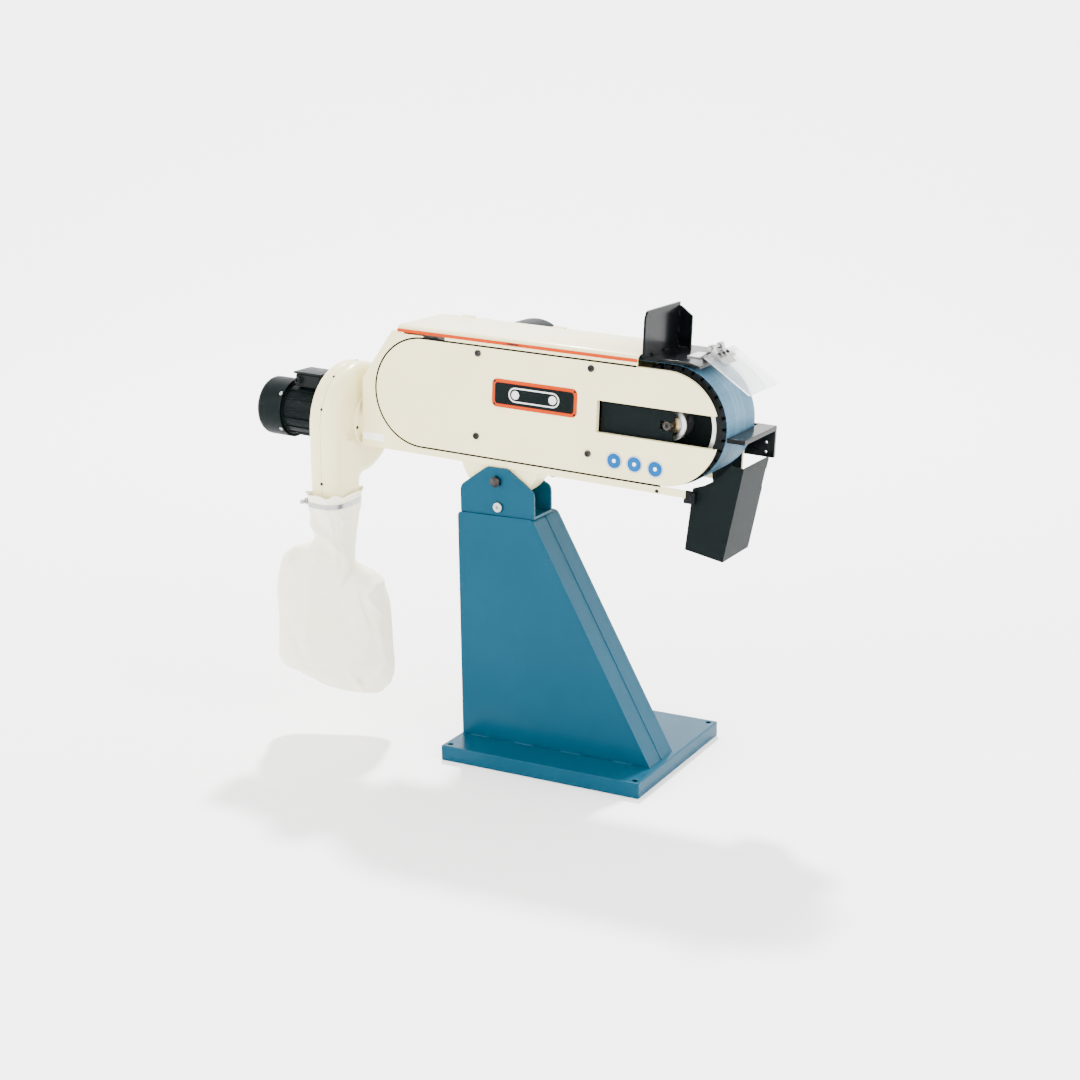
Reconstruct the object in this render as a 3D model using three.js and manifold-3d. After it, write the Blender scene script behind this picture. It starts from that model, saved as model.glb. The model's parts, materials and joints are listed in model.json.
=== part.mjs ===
// Pedestal belt grinder: a 150 x 2007 mm abrasive belt on a drive wheel and a contact wheel,
// in a tilting head with its own dust blower, on a folded sheet-steel stand.
// Millimetres. X runs along the belt towards the contact wheel, +Y away from the door, +Z up.
import * as THREE from 'three';
import { mergeVertices } from 'three/addons/utils/BufferGeometryUtils.js';
import Module from 'manifold-3d';

const wasm = await Module();
wasm.setup();

// ---- driving dimensions -------------------------------------------------------------------
const gap = 0.3;                       // air between pieces that touch

// stand, measured from the centre of its footprint
const base = { length: 500, width: 427, height: 36, sheet: 4, flange: 28, holeInset: 16, holeR: 6 };
const pedestal = {
  left: -246, rightTop: -54, rightFoot: 234, top: 567,
  front: -123, seam: -64, rear: -6, sheet: 3, shoulderR: 10,
};
const pivot = { x: -146, z: 645 };     // tilt axis, along Y
const ear = { half: 94, topHalf: 25, top: 31, shoulder: -17, sheet: 6, front: -118.5, rear: -35 };
const rearEarTop = { half: 20, top: 21 };
const headTilt = 2.8;                  // degrees, contact wheel lower

// head, measured from the tilt axis
const wheelZ = 174.7;
const drive = { x: -201.3 };
const contact = { x: 394.3 };
const belt = { outerR: 129.8, thick: 1.2, front: -77, rear: 73 };
const frontY = -112;
const backPlate = { front: 78.3, rear: 84.3 };
const shell = { left: -361.5, bottom: 31, top: 305, chamferZ: 187.7, chamferX: -283, sheet: 3 };
const bottomFlange = { right: 452, top: 47 };
const topStrip = { left: -144, right: 328, low: 297 };
const door = { z: 172, r: 123, depth: 10, sheet: 3, gap: 1.8 };
const slot = { left: 236.7, low: 143, high: 213 };
const doorScrews = { x: [-58.3, 220.3], z: [93.9, 279.3] };
const rib = { half: 16, front: -101.6, rear: -98 };
const lid = { left: -269, right: 328, low: 305.6, top: 320, rear: 82, sheet: 2.5, bendR: 14 };
const lidHinge = { y: 90, z: 314, r: 4 };
const platen = { left: -60, right: 262, low: 297.5, high: 303.2 };
const bracket = { z: 59, r: 100, sheet: 6, front: -108, rear: -46 };

// contact wheel, fork and belt tension
const tyre = { front: -80, rear: 70, outerR: 127.9, innerR: 106.3 };
const wheelHub = { rimInnerR: 96, bossR: 35, bearingR: 24 };
const axleR = 10;
const fork = {
  left: 240, right: 409, front: -95, tine: 8, low: 141.5, high: 207, rearFront: 71.5, rear: 77.5,
};
const guide = { left: 60, right: 216, half: 20, bore: 10.4 };
const leverPivot = { x: 110, z: 232 };

// nose: stop, shield, rest and chute
const stopBase = { left: 330, right: 440, front: -100, rear: 95, top: 316, thick: 6 };
const stop = { x: 334, front: -104, rear: 68, top: 412, gusset: 36 };
const shieldHinge = { x: 462, z: 340, r: 4, front: -44, rear: 14, knuckle: 14 };
const shield = { x: 463.2, z: 329.9, slope: 32.6, length: 128, thick: 4, front: -80, rear: 80 };
const rest = {
  left: 527.5, right: 568, top: 165, thick: 10, front: -85, rear: 94.6, flangeLow: 95, flangeLeft: 376,
};
const chute = { front: -95, rear: 46, sheet: 3 };

// motors, blower and dust bag
const motor = { r: 88, cowlR: 98, flangeEnd: 98, bodyEnd: 330, end: 437, boreR: 52, shaftR: 14 };
const blower = { y: -65, z: 81, r: 132, seam: -420, front: -381, rear: -461, bend: 20, sheet: 3 };
const outlet = { left: -197, right: -78, low: -118 };
const inlet = { r: 60, bore: 42, left: -380.7, right: -361.8 };
const fanMotor = { y: -66, z: 80, r: 62, cowlR: 69, bodyEnd: -588, end: -652, boreR: 40, shaftR: 8 };
const collar = { z: -84, halfX: 45, halfY: 66 };
const band = { low: -112, high: -99, thick: 1.6 };

// ---- solids -------------------------------------------------------------------------------
function toSolid(shape) {
  if (shape instanceof wasm.Manifold) return shape;
  const plain = shape.clone();
  plain.deleteAttribute('normal');
  plain.deleteAttribute('uv');
  const merged = mergeVertices(plain, 1e-4);
  return new wasm.Manifold(new wasm.Mesh({
    numProp: 3,
    vertProperties: new Float32Array(merged.attributes.position.array),
    triVerts: new Uint32Array(merged.index.array),
  }));
}

function toGeometry(shape) {
  if (!(shape instanceof wasm.Manifold)) return shape;
  const mesh = shape.getMesh();
  const geometry = new THREE.BufferGeometry();
  geometry.setAttribute('position', new THREE.BufferAttribute(new Float32Array(mesh.vertProperties), 3));
  geometry.setIndex(new THREE.BufferAttribute(new Uint32Array(mesh.triVerts), 1));
  geometry.computeVertexNormals();
  return geometry;
}

const cut = (body, ...tools) => tools.reduce((left, tool) => left.subtract(toSolid(tool)), toSolid(body));
const join = (body, ...more) => more.reduce((sum, piece) => sum.add(toSolid(piece)), toSolid(body));
const keep = (body, tool) => toSolid(body).intersect(toSolid(tool));

function block(x0, x1, y0, y1, z0, z1) {
  const shape = new THREE.BoxGeometry(x1 - x0, y1 - y0, z1 - z0);
  return shape.translate((x0 + x1) / 2, (y0 + y1) / 2, (z0 + z1) / 2);
}

// a cylinder along one axis; the centre is given by its two other coordinates, in X, Y, Z order
function rod(axis, radius, from, to, centre, sides = 24) {
  const [a, b] = centre;
  const middle = (from + to) / 2;
  const shape = new THREE.CylinderGeometry(radius, radius, to - from, sides);
  if (axis === 'x') return shape.rotateZ(-Math.PI / 2).translate(middle, a, b);
  if (axis === 'z') return shape.rotateX(Math.PI / 2).translate(a, b, middle);
  return shape.translate(a, middle, b);
}

// an outline in X and Z, extruded along Y
function plateY(outline, y0, y1, options = {}) {
  const settings = { depth: y1 - y0, bevelEnabled: false, curveSegments: 4, ...options };
  const shape = new THREE.ExtrudeGeometry(outline, settings);
  return shape.rotateX(Math.PI / 2).translate(0, y1, 0);
}

// an outline in Y and Z, extruded along X
function plateX(outline, x0, x1, options = {}) {
  const settings = { depth: x1 - x0, bevelEnabled: false, curveSegments: 4, ...options };
  const shape = new THREE.ExtrudeGeometry(outline, settings);
  const turn = new THREE.Matrix4().set(0, 0, 1, x0, 1, 0, 0, 0, 0, 1, 0, 0, 0, 0, 0, 1);
  return shape.applyMatrix4(turn);
}

// a profile of radius and height turned about an axis along Y, through x and z
function turnY(profile, x, z, sides = 32) {
  const shape = new THREE.LatheGeometry(profile.map(([r, y]) => new THREE.Vector2(r, y)), sides);
  return shape.translate(x, 0, z);
}

// the same about an axis along X, through y and z
function turnX(profile, y, z, sides = 32) {
  const shape = new THREE.LatheGeometry(profile.map(([r, x]) => new THREE.Vector2(r, x)), sides);
  return shape.rotateZ(-Math.PI / 2).translate(0, y, z);
}

const outlineOf = (points) => new THREE.Shape(points.map(([u, v]) => new THREE.Vector2(u, v)));

// a polygon whose corners are rounded; a radius may be given for each corner
function roundedOutline(points, radii) {
  const radiusAt = (i) => (Array.isArray(radii) ? radii[i] : radii);
  const at = (i) => new THREE.Vector2(...points[(i + points.length) % points.length]);
  const towards = (i, j) => {
    const corner = at(i);
    const step = at(j).sub(corner);
    return corner.add(step.setLength(Math.min(radiusAt(i), step.length() / 2)));
  };
  const shape = new THREE.Shape();
  points.forEach((point, i) => {
    const before = towards(i, i - 1);
    const after = towards(i, i + 1);
    if (i === 0) shape.moveTo(before.x, before.y);
    else shape.lineTo(before.x, before.y);
    if (radiusAt(i) > 0) shape.quadraticCurveTo(point[0], point[1], after.x, after.y);
  });
  return shape;
}

// two half circles joined by straight lines
function obround(xa, xb, z, r) {
  const shape = new THREE.Shape();
  shape.absarc(xb, z, r, -Math.PI / 2, Math.PI / 2, false);
  shape.absarc(xa, z, r, Math.PI / 2, Math.PI * 1.5, false);
  return shape;
}

// a closed skin over a stack of rounded-square sections
function loft(sections, sides) {
  const ring = ({ z, x, y, rx, ry, power }) => Array.from({ length: sides }, (_, i) => {
    const angle = (i / sides) * Math.PI * 2;
    const bulge = (v) => Math.sign(v) * Math.abs(v) ** (2 / power);
    return [x + rx * bulge(Math.cos(angle)), y + ry * bulge(Math.sin(angle)), z];
  });
  const rings = sections.map(ring);
  const first = sections[0];
  const last = sections.at(-1);
  const points = [...rings.flat(), [first.x, first.y, first.z], [last.x, last.y, last.z]];
  const faces = [];
  const quad = (a, b, c, d) => faces.push(a, b, c, a, c, d);
  for (let level = 0; level < rings.length - 1; level++) {
    for (let i = 0; i < sides; i++) {
      const next = (i + 1) % sides;
      quad(level * sides + i, level * sides + next, (level + 1) * sides + next, (level + 1) * sides + i);
    }
  }
  const low = rings.length * sides;
  const topRing = (rings.length - 1) * sides;
  for (let i = 0; i < sides; i++) {
    const next = (i + 1) % sides;
    faces.push(low, next, i, low + 1, topRing + i, topRing + next);
  }
  const geometry = new THREE.BufferGeometry();
  geometry.setAttribute('position', new THREE.BufferAttribute(new Float32Array(points.flat()), 3));
  geometry.setIndex(faces);
  geometry.computeVertexNormals();
  return geometry;
}

// ---- finishes -----------------------------------------------------------------------------
const finish = (color, roughness, metalness = 0, more = {}) => new THREE.MeshStandardMaterial({
  color, roughness, metalness, ...more,
});
const cream = finish(0xe4dfc9, 0.35);
const blue = finish(0x3f7f9e, 0.35);
const black = finish(0x2b3032, 0.4);
const charcoal = finish(0x353c3c, 0.5);
const orange = finish(0xe25a2c, 0.4);
const steel = finish(0xb9bbb8, 0.3, 1);
const aluminium = finish(0xc4c6c4, 0.4, 1);
const darkSteel = finish(0x3a3c3d, 0.4, 0.8);
const rubber = finish(0x26282a, 0.8);
const abrasive = finish(0x6fa3c4, 0.9);
const cotton = finish(0xf2eee4, 0.9);
const clear = finish(0xdfe8ee, 0.05, 0, { transparent: true, opacity: 0.3 });
const green = finish(0x2f8a4a, 0.4);
const red = finish(0xc0322c, 0.4);

const machine = new THREE.Group();
const head = new THREE.Group();
head.position.set(pivot.x, 0, pivot.z);
head.rotation.y = THREE.MathUtils.degToRad(headTilt);
machine.add(head);

function add(parent, name, shape, material) {
  const mesh = new THREE.Mesh(toGeometry(shape), material);
  mesh.name = name;
  parent.add(mesh);
  return mesh;
}

// ---- stand --------------------------------------------------------------------------------
function baseTray() {
  const { length, width, height, sheet, flange, holeInset, holeR } = base;
  const [x, y] = [length / 2, width / 2];
  const inside = block(-x + sheet, x - sheet, -y + sheet, y - sheet, sheet, height - sheet);
  const mouth = block(-x + flange, x - flange, -y + flange, y - flange, -1, sheet + 1);
  const holes = [-1, 1].flatMap((i) => [-1, 1].map((j) => (
    rod('z', holeR, -1, height + 1, [i * (x - holeInset), j * (y - holeInset)], 12)
  )));
  return cut(block(-x, x, -y, y, 0, height), inside, mouth, ...holes);
}

function pedestalOutline(inset) {
  const { left, rightTop, rightFoot, top, shoulderR } = pedestal;
  const foot = base.height + gap - (inset ? 5 : 0);
  const slope = (rightFoot - rightTop) / (top - base.height);
  const side = inset * Math.hypot(1, slope);
  const low = rightFoot + slope * (base.height - foot) - side;
  const high = rightTop + slope * inset - side;
  const points = [[left + inset, foot], [low, foot], [high, top - inset], [left + inset, top - inset]];
  return roundedOutline(points, [0, 0, shoulderR - inset, shoulderR - inset]);
}

function pedestalHalf(outerY, seamY) {
  const [y0, y1] = [Math.min(outerY, seamY), Math.max(outerY, seamY)];
  const inner = outerY < seamY ? [y0 + pedestal.sheet, y1 + 1] : [y0 - 1, y1 - pedestal.sheet];
  return cut(plateY(pedestalOutline(0), y0, y1), plateY(pedestalOutline(pedestal.sheet), ...inner));
}

function earOutline(topHalf, top) {
  const low = pedestal.top + gap - pivot.z;
  const points = [[-ear.half, low], [ear.half, low], [ear.half, ear.shoulder], [topHalf, top],
    [-topHalf, top], [-ear.half, ear.shoulder]];
  return roundedOutline(points.map(([x, z]) => [x + pivot.x, z + pivot.z]), [0, 0, 12, 5, 5, 12]);
}

function earChannel() {
  const { front, rear, sheet } = ear;
  const low = pedestal.top + gap;
  const floor = block(pivot.x - ear.half, pivot.x + ear.half, front, rear, low, low + sheet);
  const cheeks = join(
    plateY(earOutline(ear.topHalf, ear.top), front, front + sheet),
    plateY(earOutline(rearEarTop.half, rearEarTop.top), rear - sheet, rear),
    floor,
  );
  const pivotHole = rod('y', 8.4, front - 1, rear + 1, [pivot.x, pivot.z]);
  const lockHole = rod('y', 7.4, front - 1, front + sheet + 1, [pivot.x + 4, pivot.z - 58]);
  return cut(cheeks, pivotHole, lockHole);
}

function pivotBolt() {
  const shank = rod('y', 8, -124, 112, [pivot.x, pivot.z]);
  const bolt = rod('y', 13, -128, ear.front - gap, [pivot.x, pivot.z], 6);
  const collarNut = rod('y', 12, ear.rear + gap, ear.rear + 12, [pivot.x, pivot.z], 6);
  return join(shank, bolt, collarNut);
}

function lockScrew() {
  const [x, z] = [pivot.x + 4, pivot.z - 58];
  const socket = rod('y', 4, -126, -121, [x, z], 6);
  return cut(join(rod('y', 7, -122, -100, [x, z], 24), rod('y', 11, -125, ear.front - gap, [x, z])), socket);
}

function tiltKnob() {
  const outline = new THREE.Shape();
  const lobes = 6;
  for (let i = 0; i <= 48; i++) {
    const angle = (i / 48) * Math.PI * 2;
    const r = 38 + 4 * Math.cos(lobes * angle);
    const point = [pivot.x + r * Math.cos(angle), pivot.z + r * Math.sin(angle)];
    if (i === 0) outline.moveTo(...point);
    else if (i < 48) outline.lineTo(...point);
  }
  const knob = join(plateY(outline, 114, 136), rod('y', 18, 98, 138, [pivot.x, pivot.z]));
  return cut(knob, rod('y', 8.3, 90, 126, [pivot.x, pivot.z]));
}

add(machine, 'base_tray', baseTray(), blue);
add(machine, 'pedestal_front', pedestalHalf(pedestal.front, pedestal.seam), blue);
add(machine, 'pedestal_rear', pedestalHalf(pedestal.rear, pedestal.seam + gap), blue);
add(machine, 'ear_channel', earChannel(), blue);
add(machine, 'pivot_bolt', pivotBolt(), darkSteel);
add(machine, 'tilt_lock_screw', lockScrew(), steel);
add(machine, 'tilt_knob', tiltKnob(), black);

// the switch stands on the back of the pedestal
const switchAt = { x: -170, z: 450, width: 74, height: 130, depth: 52 };
function switchBox() {
  const { x, z, width, height, depth } = switchAt;
  const y0 = pedestal.rear + gap;
  const housing = roundedOutline([[x - width / 2, z - height / 2], [x + width / 2, z - height / 2],
    [x + width / 2, z + height / 2], [x - width / 2, z + height / 2]], 8);
  const wells = [-1, 1].map((side) => rod('y', 15, y0 + 30, y0 + depth + 1, [x, z + side * 28]));
  const gland = rod('z', 9, z - height / 2 - 16, z - height / 2 + 1, [x, y0 + depth / 2], 16);
  return join(cut(plateY(housing, y0, y0 + depth), ...wells), gland);
}
const button = (side, r) => {
  const y0 = pedestal.rear + gap + 34;
  const z = switchAt.z + side * 28;
  return rod('y', r, y0, y0 + 24, [switchAt.x, z]);
};
add(machine, 'switch_box', switchBox(), charcoal);
add(machine, 'start_button', button(1, 14.5), green);
add(machine, 'stop_button', button(-1, 14.5), red);

// ---- head casing --------------------------------------------------------------------------
function tiltBracket() {
  const { z, r, sheet, front, rear } = bracket;
  const below = block(-r - 1, r + 1, front - 1, rear + 1, z - r - 1, shell.bottom - gap);
  const drum = keep(rod('y', r, front, rear, [0, z], 48), below);
  const inner = rod('y', r - sheet, front + sheet, rear - sheet, [0, z], 48);
  return cut(drum, inner, rod('y', 8.4, front - 1, rear + 1, [0, 0]));
}

function backPlateOutline() {
  const noseR = 118;
  const shape = new THREE.Shape();
  shape.moveTo(shell.left, shell.bottom);
  shape.lineTo(440, shell.bottom);
  shape.lineTo(440, -40);
  shape.lineTo(500, -40);
  shape.lineTo(500, wheelZ - 75);
  shape.absarc(contact.x, wheelZ, noseR, 0, Math.PI / 2, false);
  shape.lineTo(contact.x, wheelZ + noseR);
  shape.lineTo(lid.right, shell.top);
  shape.lineTo(shell.chamferX, shell.top);
  shape.lineTo(shell.left, shell.chamferZ);
  return shape;
}

function backPlateSolid() {
  const { front, rear } = backPlate;
  const shaftHole = rod('y', 24, front - 1, rear + 1, [drive.x, wheelZ]);
  const restHoles = [415, 485].map((x) => rod('y', 4.3, front - 1, rear + 1, [x, 130], 16));
  const leverHole = rod('y', 7.4, front - 1, rear + 1, [leverPivot.x, leverPivot.z], 20);
  const plate = plateY(backPlateOutline(), front, rear, { curveSegments: 12 });
  return cut(plate, shaftHole, ...restHoles, leverHole);
}

// bottom, end and sloping walls, folded from one sheet
function wallBand() {
  const { left, bottom, top, chamferZ, chamferX, sheet } = shell;
  const outline = outlineOf([[340, bottom], [left, bottom], [left, chamferZ], [chamferX, top],
    [-272, top], [-272, top - sheet], [chamferX + 1.6, top - sheet],
    [left + sheet, chamferZ - 0.9], [left + sheet, bottom + sheet], [340, bottom + sheet]]);
  return plateY(outline, frontY, backPlate.front - gap);
}

function frontFrame() {
  const { left, bottom, top, chamferZ, chamferX, sheet } = shell;
  const outline = outlineOf([[left, bottom], [bottomFlange.right, bottom],
    [bottomFlange.right, bottomFlange.top], [contact.x, bottomFlange.top], [contact.x, door.z],
    [drive.x, door.z], [drive.x, topStrip.low + 4], [-252, topStrip.low + 4], [-252, top],
    [chamferX, top], [left, chamferZ]]);
  const clear = obround(drive.x, contact.x, door.z, door.r + door.gap);
  const opening = plateY(clear, frontY - 1, frontY + 9, { curveSegments: 20 });
  return cut(plateY(outline, frontY, frontY + sheet), opening);
}

// ribs behind the door tie the top strip to the bottom flange and carry the door screws
function doorRib(x) {
  const { half, front, rear } = rib;
  const post = block(x - half, x + half, front, rear, shell.bottom + 1, shell.top);
  const foot = block(x - half, x + half, frontY, rear, shell.bottom, shell.bottom + 10);
  const lip = block(x - half, x + half, frontY, rear, topStrip.low + 1, shell.top);
  const holes = doorScrews.z.map((z) => rod('y', 4.3, front - 1, rear + 1, [x, z], 16));
  return cut(join(post, foot, lip), ...holes);
}

function caseShell() {
  const strip = block(topStrip.left, topStrip.right, frontY, frontY + shell.sheet, topStrip.low, shell.top);
  const inletHole = rod('x', inlet.bore + 2, shell.left - 1, shell.left + 5, [blower.y, blower.z], 28);
  const body = join(wallBand(), frontFrame(), strip, ...doorScrews.x.map(doorRib));
  const screwHole = rod('y', 3, frontY - 1, frontY + 4, [387, 36], 12);
  return cut(body, inletHole, screwHole);
}

function frontDoor() {
  const { z, r, depth, sheet } = door;
  const fine = { curveSegments: 20 };
  const pan = plateY(obround(drive.x, contact.x, z, r), frontY, frontY + depth, fine);
  const inner = obround(drive.x, contact.x, z, r - sheet);
  const hollow = plateY(inner, frontY + sheet, frontY + depth + 1, fine);
  const slotCut = block(slot.left, contact.x + r + 1, frontY - 1, frontY + depth + 1, slot.low, slot.high);
  const slotRim = join(
    block(slot.left - sheet, contact.x + r - 12, frontY + 1, frontY + depth, slot.low - sheet, slot.low),
    block(slot.left - sheet, contact.x + r - 12, frontY + 1, frontY + depth, slot.high, slot.high + sheet),
    block(slot.left - sheet, slot.left, frontY + 1, frontY + depth, slot.low - sheet, slot.high + sheet),
  );
  const holes = doorScrews.x.flatMap((x) => doorScrews.z.map((h) => (
    rod('y', 4.6, frontY - 1, frontY + 5, [x, h], 16)
  )));
  return cut(join(cut(pan, hollow), slotRim), slotCut, ...holes);
}

function doorScrew(x, z) {
  const head = rod('y', 7.5, frontY - 3.4, frontY - gap, [x, z], 20);
  const shank = rod('y', 4, frontY - 1, rib.rear + 3, [x, z], 16);
  return cut(join(head, shank), rod('y', 3, frontY - 4, frontY - 1.5, [x, z], 6));
}

add(head, 'tilt_bracket', tiltBracket(), cream);
add(head, 'back_plate', backPlateSolid(), cream);
add(head, 'case_shell', caseShell(), cream);
add(head, 'front_door', frontDoor(), cream);
doorScrews.x.forEach((x, i) => doorScrews.z.forEach((z, j) => {
  add(head, `door_screw_${i * 2 + j + 1}`, doorScrew(x, z), darkSteel);
}));

// ---- belt, platen and lid -----------------------------------------------------------------
function beltLoop() {
  const { outerR, thick, front, rear } = belt;
  const fine = { curveSegments: 24 };
  const loop = plateY(obround(drive.x, contact.x, wheelZ, outerR), front, rear, fine);
  const inside = obround(drive.x, contact.x, wheelZ, outerR - thick);
  return cut(loop, plateY(inside, front - 1, rear + 1, fine));
}

function platenPlate() {
  const { left, right, low, high } = platen;
  const leg = block(left + 40, right - 40, 74, backPlate.front - gap, 240, low + 1);
  return join(block(left, right, -72, backPlate.front - gap, low, high), leg);
}

function lidProfile(inset) {
  const shape = new THREE.Shape();
  const bend = lid.bendR - inset;
  const [y0, y1] = [frontY + inset, lid.rear - inset];
  const top = lid.top - inset;
  const low = lid.low - (inset ? 5 : 0);
  shape.moveTo(y0, low);
  shape.lineTo(y1, low);
  shape.lineTo(y1, top - 4);
  shape.lineTo(y1 - 4, top);
  shape.absarc(y0 + bend, top - bend, bend, Math.PI / 2, Math.PI, false);
  return shape;
}

function lidSolid() {
  const { left, right, sheet } = lid;
  const skin = cut(plateX(lidProfile(0), left, right), plateX(lidProfile(sheet), left + sheet, right + 1));
  const lugs = [-220, 20, 260].map((x) => join(
    block(x, x + 30, lid.rear - 3, lidHinge.y, lidHinge.z - 7.5, lidHinge.z + 6),
    rod('x', 8, x, x + 30, [lidHinge.y, lidHinge.z], 20),
  ));
  return cut(join(skin, ...lugs), rod('x', lidHinge.r + 0.4, left, right + 5, [lidHinge.y, lidHinge.z], 20));
}

function lidRod() {
  const postAt = (x) => block(x, x + 18, backPlate.rear + gap, lidHinge.y, 280, lidHinge.z);
  const posts = [-250, -20, 230].map(postAt);
  return join(rod('x', lidHinge.r, -255, 315, [lidHinge.y, lidHinge.z], 20), ...posts);
}

add(head, 'abrasive_belt', beltLoop(), abrasive);
add(head, 'platen', platenPlate(), steel);
add(head, 'lid_hinge_rod', lidRod(), steel);
add(head, 'lid', lidSolid(), cream);
const trim = block(lid.left + 1, lid.right, frontY - 2.2, frontY - gap, lid.low - 1, lid.low + 6.5);
add(head, 'lid_trim', trim, orange);

// ---- contact wheel and belt tension --------------------------------------------------------
function tensionFork() {
  const { left, right, front, tine, low, high, rearFront, rear } = fork;
  const frontTine = block(left, right, front, front + tine, low, high);
  const rearTine = block(left, right, rearFront, rear, low + 8, high - 8);
  const web = block(left, left + 10, front, rear, low, high);
  const bar = block(100, left + 1, -10, 10, wheelZ - 10, wheelZ + 10);
  const notch = block(contact.x - axleR - 5, right + 1, front - 1, front + tine + 1,
    wheelZ - axleR - gap, wheelZ + axleR + gap);
  const rearHole = rod('y', axleR + gap, rearFront - 1, rear + 1, [contact.x, wheelZ]);
  return cut(join(frontTine, rearTine, web, bar), notch, rearHole);
}

function contactAxle() {
  const { x } = contact;
  const at = [x, wheelZ];
  const flat = block(x - 20, x + 20, fork.front - 2, tyre.front + 2, wheelZ - axleR, wheelZ + axleR);
  const shaft = join(rod('y', axleR, -87, fork.rear, at), keep(rod('y', axleR, fork.front, -86, at), flat));
  return cut(shaft, rod('y', 4, fork.front - 1, fork.front + 5, at, 6));
}

// a bearing turned as one ring between the wheel and the axle
function bearing(y0, y1) {
  const [inner, outer] = [axleR + gap, wheelHub.bearingR - gap];
  return turnY([[inner, y0], [outer, y0], [outer, y1], [inner, y1], [inner, y0]], contact.x, wheelZ, 24);
}

function contactHub() {
  const { rimInnerR, bossR, bearingR } = wheelHub;
  const rimR = tyre.innerR - gap;
  const [front, rear] = [tyre.front + 1, tyre.rear - 1];
  const profile = [[bearingR, -74], [bossR, -74], [bossR, -34], [rimInnerR, -28], [rimInnerR, front],
    [rimR, front], [rimR, rear], [rimInnerR, rear], [rimInnerR, -12], [bossR, -6], [bossR, 60],
    [bearingR, 60], [bearingR, 46], [bearingR - 4, 46], [bearingR - 4, -60], [bearingR, -60],
    [bearingR, -74]];
  return turnY(profile, contact.x, wheelZ, 36);
}

function contactTyre() {
  const { front, rear, innerR, outerR } = tyre;
  const profile = [[innerR, front], [outerR, front], [outerR, rear], [innerR, rear], [innerR, front]];
  return turnY(profile, contact.x, wheelZ, 56);
}

function guideTube() {
  const { left, right, half, bore } = guide;
  const tube = block(left, right, -half, half, wheelZ - half, wheelZ + half);
  const passage = block(left + 4, right + 1, -bore, bore, wheelZ - bore, wheelZ + bore);
  const arm = block(left + 20, left + 90, half - 1, backPlate.front - gap, wheelZ - 14, wheelZ + 14);
  return cut(join(tube, arm), passage, rod('x', 4, left - 1, left + 5, [0, wheelZ], 16));
}

class Coil extends THREE.Curve {
  getPoint(t) {
    const angle = t * Math.PI * 2 * 5;
    const x = guide.left + 6.5 + t * 30;
    return new THREE.Vector3(x, 7 * Math.cos(angle), wheelZ + 7 * Math.sin(angle));
  }
}

function tensionSpring() {
  const wire = new THREE.Shape();
  wire.absarc(0, 0, 1.2, 0, Math.PI * 2, false);
  const settings = { steps: 50, extrudePath: new Coil(), curveSegments: 3, bevelEnabled: false };
  return new THREE.ExtrudeGeometry(wire, settings);
}

function tensionLever() {
  const { x, z } = leverPivot;
  const y0 = backPlate.rear + gap;
  const corners = [[x - 14, z - 14], [x + 150, z - 9], [x + 150, z + 9], [x - 14, z + 14]];
  const arm = plateY(roundedOutline(corners, 8), y0, y0 + 8);
  const grip = new THREE.SphereGeometry(15, 12, 8).translate(x + 140, y0 + 16, z);
  const spindle = rod('y', 7, backPlate.front - 8, y0 + 12, [x, z], 24);
  return join(arm, grip, spindle);
}

add(head, 'tension_fork', tensionFork(), charcoal);
add(head, 'contact_axle', contactAxle(), steel);
add(head, 'front_bearing', bearing(-73, -61), steel);
add(head, 'rear_bearing', bearing(47, 59), steel);
add(head, 'contact_hub', contactHub(), aluminium);
add(head, 'contact_tyre', contactTyre(), rubber);
add(head, 'guide_tube', guideTube(), charcoal);
add(head, 'tension_spring', tensionSpring(), steel);
add(head, 'tension_lever', tensionLever(), black);

// ---- drive wheel and main motor -----------------------------------------------------------
function driveWheel() {
  const bore = motor.shaftR + gap;
  const r = tyre.outerR;
  const profile = [[bore, -60], [34, -60], [34, -12], [r - 14, -8], [r - 14, belt.front], [r, belt.front],
    [r, belt.rear], [r - 14, belt.rear], [r - 14, 6], [34, 10], [34, 50], [bore, 50], [bore, -60]];
  return turnY(profile, drive.x, wheelZ, 40);
}

function motorShaft() {
  const { shaftR } = motor;
  const at = [drive.x, wheelZ];
  const washer = join(rod('y', shaftR + 8, -66, -60 - gap, at), rod('y', 8, -74, -65, at, 6));
  return join(rod('y', shaftR, -64, 360, at), rod('y', motor.boreR - 2, 130, 290, at, 28), washer);
}

function motorFlange() {
  const y0 = backPlate.rear + gap;
  const profile = [[motor.shaftR + 2, y0], [motor.cowlR + 4, y0], [motor.cowlR + 4, y0 + 8],
    [motor.r - 4, motor.flangeEnd],
    [motor.shaftR + 2, motor.flangeEnd], [motor.shaftR + 2, y0]];
  return turnY(profile, drive.x, wheelZ);
}

// cooling fins run along the stator housing
function finOutline() {
  const fins = 24;
  const shape = new THREE.Shape();
  for (let i = 0; i < fins; i++) {
    const corners = [[0, motor.r], [0.35, motor.r], [0.5, motor.r - 9], [0.85, motor.r - 9]];
    corners.forEach(([part, r], k) => {
      const angle = ((i + part) / fins) * Math.PI * 2;
      const point = [drive.x + r * Math.cos(angle), wheelZ + r * Math.sin(angle)];
      if (i + k === 0) shape.moveTo(...point);
      else shape.lineTo(...point);
    });
  }
  return shape;
}

function motorBody() {
  const { flangeEnd, bodyEnd, boreR, shaftR } = motor;
  const at = [drive.x, wheelZ];
  const bore = rod('y', boreR, flangeEnd - 1, bodyEnd - 12, at, 40);
  const foot = block(drive.x - 30, drive.x + 30, 150, 240, 60, 100);
  const body = join(plateY(finOutline(), flangeEnd + gap, bodyEnd), foot);
  return cut(body, bore, rod('y', shaftR + 2, bodyEnd - 13, bodyEnd + 1, at));
}

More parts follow.
